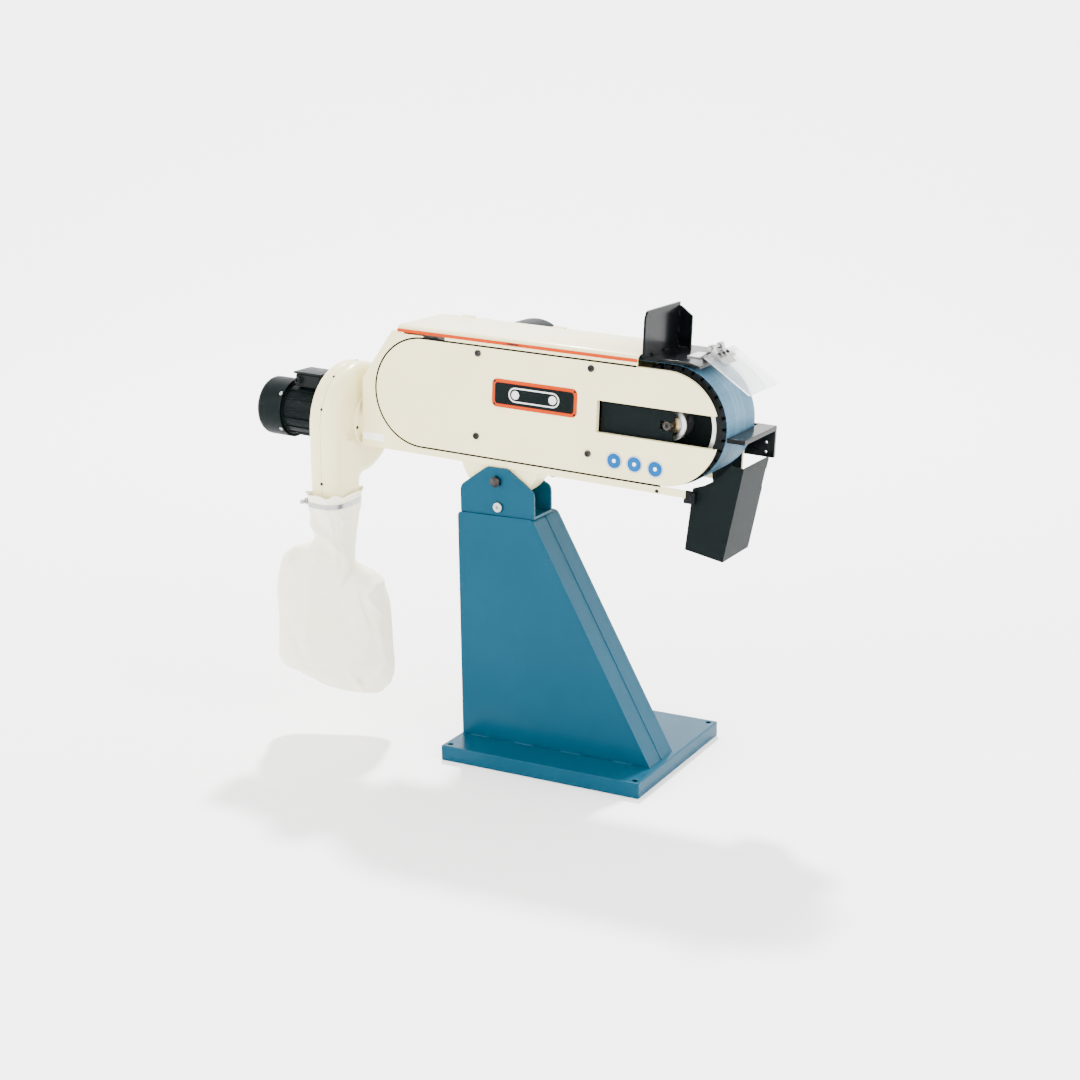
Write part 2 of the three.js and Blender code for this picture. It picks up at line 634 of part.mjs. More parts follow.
function motorTerminalBox() {
  const top = 60 - gap;
  const housing = block(drive.x - 48, drive.x + 48, 140, 250, top - 46, top);
  return join(housing, rod('y', 10, 249, 262, [drive.x, top - 24], 16));
}

function motorCowl() {
  const { cowlR, bodyEnd, end } = motor;
  const profile = [[cowlR - 3, bodyEnd - 16], [cowlR, bodyEnd - 16], [cowlR, end - 12], [cowlR - 12, end],
    [50, end], [50, end - 3], [cowlR - 13, end - 3], [cowlR - 3, end - 13], [cowlR - 3, bodyEnd - 16]];
  return turnY(profile, drive.x, wheelZ);
}

function fanDisc(y0, r, shaftR) {
  const at = [drive.x, wheelZ];
  const vanes = Array.from({ length: 8 }, (_, i) => {
    const vane = block(shaftR + 6, r, y0 + 5, y0 + 34, -2, 2);
    return vane.rotateY((i / 8) * Math.PI * 2).translate(drive.x, 0, wheelZ);
  });
  const disc = join(rod('y', r, y0, y0 + 6, at, 24), rod('y', shaftR + 8, y0, y0 + 34, at, 24), ...vanes);
  return cut(disc, rod('y', shaftR + gap, y0 - 1, y0 + 35, at));
}

add(head, 'drive_wheel', driveWheel(), aluminium);
add(head, 'motor_shaft', motorShaft(), steel);
add(head, 'motor_flange', motorFlange(), charcoal);
add(head, 'motor_body', motorBody(), charcoal);
add(head, 'motor_terminal_box', motorTerminalBox(), charcoal);
add(head, 'motor_cowl', motorCowl(), charcoal);
add(head, 'motor_fan', fanDisc(345, 80, motor.shaftR), black);

// ---- stop and eye shield on the nose --------------------------------------------------------
function stopBasePlate() {
  const { left, right, front, rear, top, thick } = stopBase;
  const profile = outlineOf([[left, top - thick], [right, top - thick], [right + 23, top - thick - 6],
    [right + 23, top - 6], [right, top], [left, top]]);
  const leg = block(left + 4, left + 96, backPlate.rear + gap, rear, 250, top - 1);
  return join(plateY(profile, front, rear), leg);
}

function topStop() {
  const { x, front, rear, top, gusset } = stop;
  const foot = stopBase.top + gap;
  const across = plateX(roundedOutline([[front, foot], [rear, foot], [rear, top], [front + 10, top],
    [front, top - 16]], [0, 0, 0, 5, 5]), x, x + 5);
  const along = plateY(outlineOf([[x + 4, foot], [x + gusset, foot], [x + gusset, top - 28],
    [x + 8, top - 8], [x + 4, top - 8]]), rear - 5, rear);
  return join(across, along);
}

function shieldBracket() {
  const { x, z, r, front, rear, knuckle } = shieldHinge;
  const { right, top } = stopBase;
  const foot = block(right - 30, right - 2, front, rear, top + gap, top + 3);
  const rise = plateY(outlineOf([[right - 5, top + gap], [right - 2, top + gap],
    [x, z - 2], [x, z + 2]]), front + knuckle + gap, rear - knuckle - gap);
  const pin = rod('y', r, front - 6, rear + 6, [x, z], 20);
  return join(foot, rise, pin);
}

// the shield and its leaf are drawn flat along X from the top edge, then sloped
function sloped(shape) {
  const turn = new THREE.Matrix4().makeRotationY(THREE.MathUtils.degToRad(shield.slope));
  return toGeometry(shape).applyMatrix4(turn).translate(shield.x, 0, shield.z);
}

function shieldLeaf() {
  const { x, z, r, front, rear, knuckle } = shieldHinge;
  const leaf = sloped(block(2, 40, front, rear, gap, 3));
  const web = outlineOf([[x + 1, z - 5], [x + 10, z - 14], [x + 12, z - 12], [x + 6, z + 1]]);
  const ends = [[front, front + knuckle], [rear - knuckle, rear]];
  const knuckles = ends.flatMap((span) => [plateY(web, ...span), rod('y', r + 3, ...span, [x, z])]);
  const pinHole = rod('y', r + 0.4, front - 9, rear + 9, [x, z]);
  return cut(join(leaf, ...knuckles), pinHole, sloped(block(-20, 60, front - 1, rear + 1, -9, gap)));
}

add(head, 'stop_base', stopBasePlate(), black);
add(head, 'top_stop', topStop(), black);
add(head, 'shield_bracket', shieldBracket(), steel);
add(head, 'shield_leaf', shieldLeaf(), steel);
add(head, 'eye_shield', sloped(block(0, shield.length, shield.front, shield.rear, -shield.thick, 0)), clear);

// ---- work rest and spark chute --------------------------------------------------------------
const restSlots = { x: [415, 485], z: 130, travel: 20 };
function workRest() {
  const { left, right, top, thick, front, rear, flangeLow, flangeLeft } = rest;
  const table = block(left, right, front, rear, top - thick, top);
  const flange = block(flangeLeft, right, backPlate.rear + gap, rear, flangeLow, top);
  const slots = restSlots.x.map((x) => (
    plateY(obround(x - restSlots.travel, x + 3, restSlots.z, 4.6), backPlate.rear - 1, rear + 1)
  ));
  const holes = [106, 127].map((z) => rod('y', 3, backPlate.rear - 1, rear + 1, [549, z], 16));
  return cut(join(table, flange), ...slots, ...holes);
}

function restScrew(x) {
  const at = [x, restSlots.z];
  const shank = rod('y', 4, backPlate.front - 6, rest.rear + 2, at, 16);
  return join(shank, rod('y', 8.5, rest.rear + gap, rest.rear + 7, at, 6));
}

function chuteOutline() {
  const shape = new THREE.Shape();
  shape.moveTo(451, -86);
  shape.lineTo(539, -100);
  shape.lineTo(573.6, 108);
  shape.lineTo(544, 111);
  shape.quadraticCurveTo(512, 64, 462, 50.5);
  return shape;
}

function sparkChute() {
  const { front, rear, sheet } = chute;
  const outer = plateY(chuteOutline(), front, rear);
  const inner = plateY(outlineOf([[454, -110], [534.5, -110], [570.6, 106], [576, 130], [465, 130]]),
    front + sheet, rear - sheet);
  const openTop = outlineOf([[440, 40], [569, 40], [569, 140], [440, 140]]);
  const rearTop = plateY(openTop, rear - sheet - 1, rear + 1);
  return cut(outer, inner, rearTop);
}

function chuteBracket() {
  const pad = block(470, 530, chute.rear + gap, chute.rear + 4, -36, 24);
  const arm = block(470, 496, chute.rear + 3, backPlate.front - gap, -36, 24);
  return join(pad, arm);
}

add(head, 'work_rest', workRest(), black);
restSlots.x.forEach((x, i) => add(head, `rest_screw_${i + 1}`, restScrew(x), steel));
add(head, 'spark_chute', sparkChute(), charcoal);
add(head, 'chute_bracket', chuteBracket(), charcoal);

// ---- blower ---------------------------------------------------------------------------------
function scrollOutline(inset, reach) {
  const r = blower.r - inset;
  const [left, right] = [outlet.left + inset, outlet.right - inset];
  const low = outlet.low - reach;
  const meet = -Math.acos((right - blower.y) / r);
  const shape = new THREE.Shape();
  shape.moveTo(left, low);
  shape.lineTo(right, low);
  shape.absarc(blower.y, blower.z, r, meet, Math.PI, false);
  shape.lineTo(left, low);
  return shape;
}

function scrollSolid(inset, reach) {
  const bend = blower.bend - inset;
  const length = blower.front - blower.rear - 2 * inset - 2 * bend;
  const options = { depth: length, bevelEnabled: true, bevelThickness: bend, bevelSize: bend,
    bevelOffset: -bend, bevelSegments: 2, curveSegments: 14 };
  const shape = new THREE.ExtrudeGeometry(scrollOutline(inset, reach), options);
  const start = blower.rear + inset + bend;
  const turn = new THREE.Matrix4().set(0, 0, 1, start, 1, 0, 0, 0, 0, 1, 0, 0, 0, 0, 0, 1);
  return shape.applyMatrix4(turn);
}

function blowerHalf(x0, x1, hole) {
  const casing = cut(scrollSolid(0, 40), scrollSolid(blower.sheet, 90));
  const room = block(x0, x1, -260, 120, outlet.low, 260);
  return cut(keep(casing, room), hole);
}

function inletRing() {
  const { r, bore, left, right } = inlet;
  const outside = [[bore, left], [r - 8, left], [r, left + 6], [r, right - 3], [r - 3, right]];
  const profile = [...outside, [bore, right], [bore, left]];
  return turnX(profile, blower.y, blower.z);
}

function impeller() {
  const { y, z, seam } = blower;
  const back = seam - 26;
  const blades = Array.from({ length: 10 }, (_, i) => {
    const blade = block(back + 3, back + 46, 30, 100, -1.5, 1.5);
    return blade.rotateX((i / 10) * Math.PI * 2).translate(0, y, z);
  });
  const disc = rod('x', 102, back, back + 4, [y, z], 28);
  const wheel = join(disc, rod('x', 16, back, back + 30, [y, z], 24), ...blades);
  return cut(wheel, rod('x', fanMotor.shaftR + gap, back - 1, back + 26, [y, z]));
}

function fanShaft() {
  const at = [blower.y, blower.z];
  const rotor = rod('x', fanMotor.boreR - 2, -560, -490, at, 32);
  return join(rod('x', fanMotor.shaftR, fanMotor.bodyEnd - 20, blower.seam - 4, at), rotor);
}

function fanMotorBody() {
  const { r, bodyEnd, boreR } = fanMotor;
  const at = [blower.y, blower.z];
  const front = blower.rear - gap;
  const keys = [0, 1, 2, 3].map((i) => {
    const key = block(bodyEnd, front, r - 4, r + 4, -3, 3);
    return key.rotateX(i * Math.PI / 2 + Math.PI / 4).translate(0, ...at);
  });
  const seat = block(-562, -488, blower.y - 30, blower.y + 30, 120, 144);
  const body = join(rod('x', r, bodyEnd, front, at, 32), ...keys, seat);
  const shaftHole = rod('x', fanMotor.shaftR + 1.5, bodyEnd - 1, front + 1, at, 20);
  return cut(body, rod('x', boreR, bodyEnd + 10, front - 8, at, 32), shaftHole);
}

function fanMotorCowl() {
  const { cowlR, bodyEnd, end } = fanMotor;
  const lip = bodyEnd + 8;
  const profile = [[cowlR - 2.4, lip], [cowlR, lip], [cowlR, end + 14], [cowlR - 14, end], [34, end],
    [34, end + 2.4], [cowlR - 15, end + 2.4], [cowlR - 2.4, end + 15], [cowlR - 2.4, lip]];
  return turnX(profile.reverse(), blower.y, blower.z);
}

function fanTerminalBox() {
  const [x0, x1] = [-562, -490];
  const y = blower.y;
  const corners = [[y - 32, 144 + gap], [y + 32, 144 + gap], [y + 32, 176], [y - 32, 176]];
  const housing = roundedOutline(corners, [0, 0, 8, 8]);
  return join(plateX(housing, x0, x1), rod('y', 9, y - 40, y - 31, [-548, 160], 20));
}

const shaftHole = rod('x', 14, blower.rear - 1, blower.rear + 5, [blower.y, blower.z]);
const inletHole = rod('x', inlet.bore, blower.front - 5, blower.front + 1, [blower.y, blower.z]);
add(head, 'blower_front', blowerHalf(blower.seam + gap, 0, inletHole), cream);
add(head, 'blower_rear', blowerHalf(-500, blower.seam, shaftHole), cream);
add(head, 'blower_inlet', inletRing(), cream);
add(head, 'impeller', impeller(), steel);
add(head, 'fan_motor_shaft', fanShaft(), steel);
add(head, 'fan_motor_body', fanMotorBody(), charcoal);
add(head, 'fan_motor_cowl', fanMotorCowl(), charcoal);
add(head, 'fan_terminal_box', fanTerminalBox(), charcoal);

// ---- dust bag and its clamp -----------------------------------------------------------------
const outletMiddle = { x: (blower.front + blower.rear) / 2, y: (outlet.left + outlet.right) / 2 };
function bagSections() {
  const { x, y } = outletMiddle;
  const neck = { x, y, rx: collar.halfX, ry: collar.halfY, power: 3 };
  const low = outlet.low;
  return [
    { ...neck, z: low - 432, x: x + 2, rx: 84, ry: 40, power: 3 },
    { ...neck, z: low - 412, x: x + 2, rx: 122, ry: 66, power: 3 },
    { ...neck, z: low - 340, x, rx: 130, ry: 80, power: 3 },
    { ...neck, z: low - 240, x: x - 2, rx: 128, ry: 80, power: 3 },
    { ...neck, z: low - 160, x: x - 6, rx: 116, ry: 74, power: 3 },
    { ...neck, z: low - 124, x: x - 8, rx: 92, ry: 68, power: 2.8 },
    { ...neck, z: low - 92, x: x - 4, rx: 56, ry: 62, power: 2.6 },
    { ...neck, z: low - 40, rx: 44, ry: 60, power: 2.6 },
    { ...neck, z: collar.z },
  ];
}

function dustBag() {
  const socket = scrollSolid(-0.5, 42);
  const room = block(-600, -300, -300, 100, outlet.low - gap, 0);
  return cut(loft(bagSections(), 36), keep(socket, room));
}

function clampBand() {
  const { x, y } = outletMiddle;
  const ringAt = (z, more) => ({ z, x, y, rx: collar.halfX + more, ry: collar.halfY + more, power: 3 });
  const outer = loft([ringAt(band.low, band.thick + gap), ringAt(band.high, band.thick + gap)], 48);
  const inner = loft([ringAt(band.low - 1, gap), ringAt(band.high + 1, gap)], 48);
  const screw = rod('x', 6, x - 50, x - 22, [y - collar.halfY - 4, (band.low + band.high) / 2], 16);
  return cut(join(outer, screw), inner);
}

add(head, 'dust_bag', dustBag(), cotton);
add(head, 'clamp_band', clampBand(), steel);

// ---- name plate -----------------------------------------------------------------------------
const plateOutline = roundedOutline([[-22, 166], [192, 166], [192, 231], [-22, 231]], 10);
add(head, 'name_plate', plateY(plateOutline, frontY - 1.5, frontY - gap), orange);

// the machine stands with the middle of its bounding box over the origin
const box = new THREE.Box3().setFromObject(machine, true);
const middle = box.getCenter(new THREE.Vector3());
machine.position.set(-middle.x, -middle.y, -box.min.z);
machine.updateMatrixWorld(true);

export default machine;
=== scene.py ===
# Pedestal belt grinder: fine shells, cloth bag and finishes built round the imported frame.
import json
import math
import bpy
from mathutils import Matrix, Vector, noise


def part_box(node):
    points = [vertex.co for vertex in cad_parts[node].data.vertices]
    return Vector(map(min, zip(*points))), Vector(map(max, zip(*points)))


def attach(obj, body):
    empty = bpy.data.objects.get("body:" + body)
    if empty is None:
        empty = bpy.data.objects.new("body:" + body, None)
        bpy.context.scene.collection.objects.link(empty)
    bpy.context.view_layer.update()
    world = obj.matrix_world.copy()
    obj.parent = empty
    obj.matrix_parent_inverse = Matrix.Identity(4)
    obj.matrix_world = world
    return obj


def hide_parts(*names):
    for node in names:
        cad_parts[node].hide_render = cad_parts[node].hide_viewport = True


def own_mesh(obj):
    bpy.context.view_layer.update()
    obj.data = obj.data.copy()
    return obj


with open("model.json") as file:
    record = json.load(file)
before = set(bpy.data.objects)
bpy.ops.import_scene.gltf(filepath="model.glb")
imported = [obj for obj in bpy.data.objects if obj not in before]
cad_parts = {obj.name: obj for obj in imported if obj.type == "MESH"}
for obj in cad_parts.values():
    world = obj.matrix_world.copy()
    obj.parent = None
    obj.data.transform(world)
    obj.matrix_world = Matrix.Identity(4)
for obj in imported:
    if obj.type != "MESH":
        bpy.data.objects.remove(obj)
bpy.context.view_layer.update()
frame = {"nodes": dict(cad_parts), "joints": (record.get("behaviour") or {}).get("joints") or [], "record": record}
nodes = frame["nodes"]
joints = {joint["name"]: joint for joint in frame["joints"]}

# two working frames: the stand stands square, the head leans about the tilt axis
pivot = Vector(joints["head_tilt"]["pos_m"])
lean = -math.asin(joints["belt_tension"]["axis"][2])
halfFoot = {"long": 0.25, "wide": 0.2135}
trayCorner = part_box("base_tray")[0]
acrossShift = trayCorner.y + halfFoot["wide"]
standFrame = Matrix.Translation((trayCorner.x + halfFoot["long"], acrossShift, 0))
headFrame = Matrix.Translation((pivot.x, acrossShift, pivot.z)) @ Matrix.Rotation(lean, 4, "Y")


def setSockets(node, values):
    for label, value in values.items():
        node.inputs[label].default_value = value


def newMaterial(name):
    material = bpy.data.materials.new(name)
    material.use_nodes = True
    return material, material.node_tree, material.node_tree.nodes["Principled BSDF"]


def setCamera():
    view = {"azimuth": 28.98, "elevation": 15.07, "roll": -0.7, "lens": 60.08, "distance": 4.1084,
            "sensor": 36, "target": (0.0773, -0.1119, 0.4877)}
    az, el, roll = (math.radians(view[key]) for key in ("azimuth", "elevation", "roll"))
    back = Vector((math.sin(az) * math.cos(el), -math.cos(az) * math.cos(el), math.sin(el)))
    right = Vector((math.cos(az), math.sin(az), 0))
    up = back.cross(right)
    turned = right * math.cos(roll) + up * math.sin(roll)
    upright = up * math.cos(roll) - right * math.sin(roll)
    bpy.ops.object.camera_add()
    camera = bpy.context.object
    camera.data.lens = view["lens"]
    camera.data.sensor_width = view["sensor"]
    turn = Matrix((turned, upright, back)).transposed().to_4x4()
    camera.matrix_world = Matrix.Translation(Vector(view["target"]) + back * view["distance"]) @ turn
    bpy.context.scene.camera = camera


def addSoftbox(name, place, size, power, aim=(0, 0, 0.5)):
    bpy.ops.object.light_add(type="AREA", location=place)
    lamp = bpy.context.object
    lamp.name = name
    lamp.data.shape = "RECTANGLE"
    lamp.data.size, lamp.data.size_y = size
    lamp.data.energy = power
    lamp.rotation_euler = (Vector(aim) - Vector(place)).to_track_quat("-Z", "Y").to_euler()


def setStudio():
    studio = {"floorTone": 0.93, "worldStrength": 2.4, "sweepRadius": 9.0, "sweepRise": 5.0, "bend": 3.5,
              "innerRing": 1.5}
    bpy.ops.mesh.primitive_plane_add(size=0.01, location=(0, 0, 0))
    floor = bpy.context.object
    floor.name = "studio_sweep"
    flat, rise, bend = studio["sweepRadius"] - studio["bend"], studio["sweepRise"], studio["bend"]
    bpy.ops.object.mode_set(mode="EDIT")
    bpy.ops.mesh.merge(type="CENTER")
    profile = [(0, 0), (studio["innerRing"], 0), (flat, 0)]
    angles = [math.pi / 24 * i for i in range(1, 13)]
    profile += [(flat + bend * math.sin(a), bend * (1 - math.cos(a))) for a in angles]
    profile += [(studio["sweepRadius"], rise)]
    for (r, z), (nextR, nextZ) in zip(profile, profile[1:]):
        bpy.ops.mesh.extrude_vertices_move(TRANSFORM_OT_translate={"value": (nextR - r, 0, nextZ - z)})
    bpy.ops.mesh.select_all(action="SELECT")
    bpy.ops.mesh.spin(steps=96, angle=math.tau, center=(0, 0, 0), axis=(0, 0, 1))
    bpy.ops.mesh.select_all(action="SELECT")
    bpy.ops.mesh.remove_doubles(threshold=0.0001)
    bpy.ops.mesh.normals_make_consistent(inside=True)
    bpy.ops.object.mode_set(mode="OBJECT")
    bpy.ops.object.shade_smooth()
    paper, _, shader = newMaterial("studioPaper")
    tone = studio["floorTone"]
    setSockets(shader, {"Base Color": (tone, tone, tone, 1), "Roughness": 0.9})
    floor.data.materials.append(paper)
    world = bpy.data.worlds.new("studioWorld")
    world.use_nodes = True
    sky = world.node_tree.nodes["Background"]
    setSockets(sky, {"Color": (1, 1, 1, 1), "Strength": studio["worldStrength"]})
    bpy.context.scene.world = world
    addSoftbox("keySoftbox", (-2.57, 4.64, 8.0), (0.6, 0.6), 2600)
    addSoftbox("frontSoftbox", (-2.4, -3.4, 2.6), (2.6, 2.2), 150)
    addSoftbox("sideSoftbox", (3.4, -0.6, 2.2), (1.8, 2.2), 110)


bpy.ops.object.select_all(action="DESELECT")
setCamera()
setStudio()
print("camera, light and floor set")


def newGroup(name, inputs, outputs):
    group = bpy.data.node_groups.new(name, "ShaderNodeTree")
    for label, kind, value in inputs:
        socket = group.interface.new_socket(name=label, in_out="INPUT", socket_type=kind)
        socket.default_value = value
    for label, kind in outputs:
        group.interface.new_socket(name=label, in_out="OUTPUT", socket_type=kind)
    return group, group.nodes.new("NodeGroupInput"), group.nodes.new("NodeGroupOutput")


def addNode(tree, kind, **values):
    node = tree.nodes.new(kind)
    for key, value in values.items():
        if hasattr(node, key):
            setattr(node, key, value)
        else:
            node.inputs[key.replace("_", " ")].default_value = value
    return node


def addMath(tree, operation, a, b=None):
    node = tree.nodes.new("ShaderNodeMath")
    node.operation = operation
    for socket, value in zip(node.inputs, (a, b)):
        if isinstance(value, (int, float)):
            socket.default_value = value
        elif value is not None:
            tree.links.new(value, socket)
    return node.outputs[0]


def addRange(tree, value, low, high, outLow, outHigh):
    node = addNode(tree, "ShaderNodeMapRange")
    setSockets(node, {"From Min": low, "From Max": high, "To Min": outLow, "To Max": outHigh})
    tree.links.new(value, node.inputs["Value"])
    return node.outputs[0]


def addNoise(tree, vector, scale, detail=4.0, roughness=0.55):
    node = addNode(tree, "ShaderNodeTexNoise", Scale=scale, Detail=detail, Roughness=roughness)
    tree.links.new(vector, node.inputs["Vector"])
    return node.outputs["Fac"]


def addObjectPlace(tree):
    return addNode(tree, "ShaderNodeTexCoord").outputs["Object"]


# the same place drawn out or pressed together along each axis
def addStretch(tree, place, amount):
    node = addNode(tree, "ShaderNodeVectorMath", operation="MULTIPLY")
    tree.links.new(place, node.inputs[0])
    if isinstance(amount, tuple):
        node.inputs[1].default_value = amount
    else:
        tree.links.new(amount, node.inputs[1])
    return node.outputs[0]


def addRelief(tree, shader, height, strength, distance):
    relief = addNode(tree, "ShaderNodeBump", Strength=strength, Distance=distance)
    tree.links.new(height, relief.inputs["Height"])
    tree.links.new(relief.outputs["Normal"], shader.inputs["Normal"])


def addMix(tree, factor, first, second):
    node = tree.nodes.new("ShaderNodeMix")
    node.data_type = "RGBA"
    for socket, value in zip((node.inputs[0], node.inputs[6], node.inputs[7]), (factor, first, second)):
        if isinstance(value, (tuple, list, int, float)):
            socket.default_value = value
        else:
            tree.links.new(value, socket)
    return node.outputs[2]


# sprayed enamel: orange peel, faint patches, rub marks, dust that settles on what faces up
def paintGroup():
    film = {"patches": 5.5, "peel": 420, "fine": 90, "dust": (0.52, 0.51, 0.48, 1),
            "bare": (0.42, 0.41, 0.39, 1)}
    group, ins, outs = newGroup("sprayedEnamel",
        [("Color", "NodeSocketColor", (1, 1, 1, 1)), ("Roughness", "NodeSocketFloat", 0.3),
         ("Dust", "NodeSocketFloat", 0.2), ("Wear", "NodeSocketFloat", 0.3)],
        [("Color", "NodeSocketColor"), ("Roughness", "NodeSocketFloat"), ("Height", "NodeSocketFloat")])
    place = addObjectPlace(group)
    patches = addNoise(group, place, film["patches"], 3)
    peel = addNoise(group, place, film["peel"], 2, 0.4)
    fine = addNoise(group, place, film["fine"], 6, 0.7)
    shape = addNode(group, "ShaderNodeNewGeometry")
    split = addNode(group, "ShaderNodeSeparateXYZ")
    group.links.new(shape.outputs["Normal"], split.inputs[0])
    upward = addRange(group, split.outputs["Z"], 0.55, 1, 0, 1)
    dusty = addMath(group, "MULTIPLY", addMath(group, "MULTIPLY", upward, ins.outputs["Dust"]),
                    addRange(group, fine, 0.3, 0.75, 0.2, 1))
    edge = addRange(group, shape.outputs["Pointiness"], 0.57, 0.68, 0, 1)
    worn = addMath(group, "MULTIPLY", addMath(group, "MULTIPLY", edge, ins.outputs["Wear"]),
                   addRange(group, fine, 0.48, 0.62, 0, 1))
    shade = addNode(group, "ShaderNodeHueSaturation")
    group.links.new(addRange(group, patches, 0.3, 0.7, 0.965, 1.03), shade.inputs["Value"])
    group.links.new(ins.outputs["Color"], shade.inputs["Color"])
    dusted = addMix(group, dusty, shade.outputs[0], film["dust"])
    group.links.new(addMix(group, worn, dusted, film["bare"]), outs.inputs["Color"])
    rubbed = addMath(group, "ADD", ins.outputs["Roughness"], addRange(group, fine, 0.3, 0.8, -0.015, 0.02))
    group.links.new(addMath(group, "ADD", rubbed, addMath(group, "MULTIPLY", dusty, 0.3)),
                    outs.inputs["Roughness"])
    ripple, specks = addMath(group, "MULTIPLY", peel, 0.5), addMath(group, "MULTIPLY", fine, 0.03)
    group.links.new(addMath(group, "ADD", ripple, specks), outs.inputs["Height"])
    return group


# turned or drawn metal: long streaks along one axis, small stains
def metalGroup():
    stain = {"scale": 38, "tone": (0.16, 0.14, 0.12, 1)}
    group, ins, outs = newGroup("drawnMetal",
        [("Color", "NodeSocketColor", (1, 1, 1, 1)), ("Roughness", "NodeSocketFloat", 0.3),
         ("Streak", "NodeSocketVector", (40, 900, 900))],
        [("Color", "NodeSocketColor"), ("Roughness", "NodeSocketFloat"), ("Height", "NodeSocketFloat")])
    place = addObjectPlace(group)
    streaks = addNoise(group, addStretch(group, place, ins.outputs["Streak"]), 1, 3)
    stains = addNoise(group, place, stain["scale"], 5, 0.65)
    stained = addRange(group, stains, 0.5, 0.72, 0, 0.35)
    group.links.new(addMix(group, stained, ins.outputs["Color"], stain["tone"]), outs.inputs["Color"])
    rough = addMath(group, "ADD", ins.outputs["Roughness"], addRange(group, streaks, 0.3, 0.7, -0.07, 0.1))
    group.links.new(addMath(group, "ADD", rough, addRange(group, stains, 0.5, 0.8, 0, 0.12)),
                    outs.inputs["Roughness"])
    group.links.new(streaks, outs.inputs["Height"])
    return group


# moulded or cast skin: fine grain with slow unevenness
def mouldGroup():
    group, ins, outs = newGroup("mouldedSkin",
        [("Color", "NodeSocketColor", (1, 1, 1, 1)), ("Roughness", "NodeSocketFloat", 0.5),
         ("Grain", "NodeSocketFloat", 700.0)],
        [("Color", "NodeSocketColor"), ("Roughness", "NodeSocketFloat"), ("Height", "NodeSocketFloat")])
    place = addObjectPlace(group)
    grain = addNode(group, "ShaderNodeTexVoronoi")
    group.links.new(place, grain.inputs["Vector"])
    group.links.new(ins.outputs["Grain"], grain.inputs["Scale"])
    slow = addNoise(group, place, 26, 5, 0.6)
    tint = addNode(group, "ShaderNodeHueSaturation")
    group.links.new(addRange(group, slow, 0.3, 0.7, 0.86, 1.16), tint.inputs["Value"])
    group.links.new(ins.outputs["Color"], tint.inputs["Color"])
    group.links.new(tint.outputs[0], outs.inputs["Color"])
    uneven = addRange(group, slow, 0.3, 0.7, -0.07, 0.08)
    group.links.new(addMath(group, "ADD", ins.outputs["Roughness"], uneven), outs.inputs["Roughness"])
    group.links.new(grain.outputs["Distance"], outs.inputs["Height"])
    return group


skins = {"paint": paintGroup(), "metal": metalGroup(), "mould": mouldGroup()}


def finishWith(name, skin, color, roughness, bump, shine=None, **values):
    material, tree, shader = newMaterial(name)
    setSockets(shader, shine or {})
    group = tree.nodes.new("ShaderNodeGroup")
    group.node_tree = skins[skin]
    setSockets(group, {"Color": (*color, 1), "Roughness": roughness, **values})
    tree.links.new(group.outputs["Color"], shader.inputs["Base Color"])
    tree.links.new(group.outputs["Roughness"], shader.inputs["Roughness"])
    addRelief(tree, shader, group.outputs["Height"], bump, 0.0004)
    return material


# coated cloth: mineral grit in blue resin, with rubbed lanes round the belt
def makeGritCloth():
    cloth = {"grit": 1100.0, "resin": (0.004, 0.045, 0.085, 1), "mineral": (0.055, 0.19, 0.3, 1),
             "rubbed": (0.1, 0.23, 0.33, 1), "lanes": (3, 60, 3)}
    material, tree, shader = newMaterial("blueAbrasive")
    place = addObjectPlace(tree)
    grit = addNode(tree, "ShaderNodeTexVoronoi", Scale=cloth["grit"])
    tree.links.new(place, grit.inputs["Vector"])
    tone = addNode(tree, "ShaderNodeSeparateColor")
    tree.links.new(grit.outputs["Color"], tone.inputs[0])
    specks = addMix(tree, addRange(tree, tone.outputs[0], 0.25, 1, 0, 1), cloth["resin"], cloth["mineral"])
    lanes = addNoise(tree, addStretch(tree, place, cloth["lanes"]), 1, 4)
    rubbed = addMix(tree, addRange(tree, lanes, 0.45, 0.75, 0, 0.35), specks, cloth["rubbed"])
    tree.links.new(rubbed, shader.inputs["Base Color"])
    setSockets(shader, {"Roughness": 0.62})
    addRelief(tree, shader, grit.outputs["Distance"], 0.7, 0.0005)
    return material


# unbleached cotton: a plain weave read off the cloth's own map, slubs, and light through it
def makeCotton():
    cotton = {"threads": 4200, "warm": (0.99, 0.92, 0.66, 1), "pale": (0.998, 0.96, 0.76, 1),
              "gap": (0.66, 0.6, 0.46, 1), "slub": (0.995, 0.955, 0.78, 1)}
    material, tree, shader = newMaterial("bagCotton")
    place = addObjectPlace(tree)
    split = addNode(tree, "ShaderNodeSeparateXYZ")
    tree.links.new(addNode(tree, "ShaderNodeUVMap").outputs["UV"], split.inputs[0])
    threads = [addMath(tree, "SINE", addMath(tree, "MULTIPLY", split.outputs[axis], cotton["threads"]))
               for axis in (0, 1)]
    weave = addMath(tree, "MULTIPLY", threads[0], threads[1])
    slubs = addNoise(tree, place, 300, 4, 0.7)
    stains = addNoise(tree, place, 9, 4)
    tint = addMix(tree, addRange(tree, stains, 0.35, 0.7, 0, 1), cotton["warm"], cotton["pale"])
    woven = addMix(tree, addRange(tree, weave, -1, 1, 0, 0.04), tint, cotton["gap"])
    slubbed = addMix(tree, addRange(tree, slubs, 0.62, 0.8, 0, 0.3), woven, cotton["slub"])
    tree.links.new(slubbed, shader.inputs["Base Color"])
    setSockets(shader, {"Roughness": 0.92, "Sheen Weight": 0.08, "Sheen Roughness": 0.5,
                        "Subsurface Weight": 0.25, "Subsurface Radius": (0.02, 0.016, 0.01),
                        "Subsurface Scale": 0.4})
    addRelief(tree, shader, addMath(tree, "ADD", weave, slubs), 0.3, 0.0006)
    return material


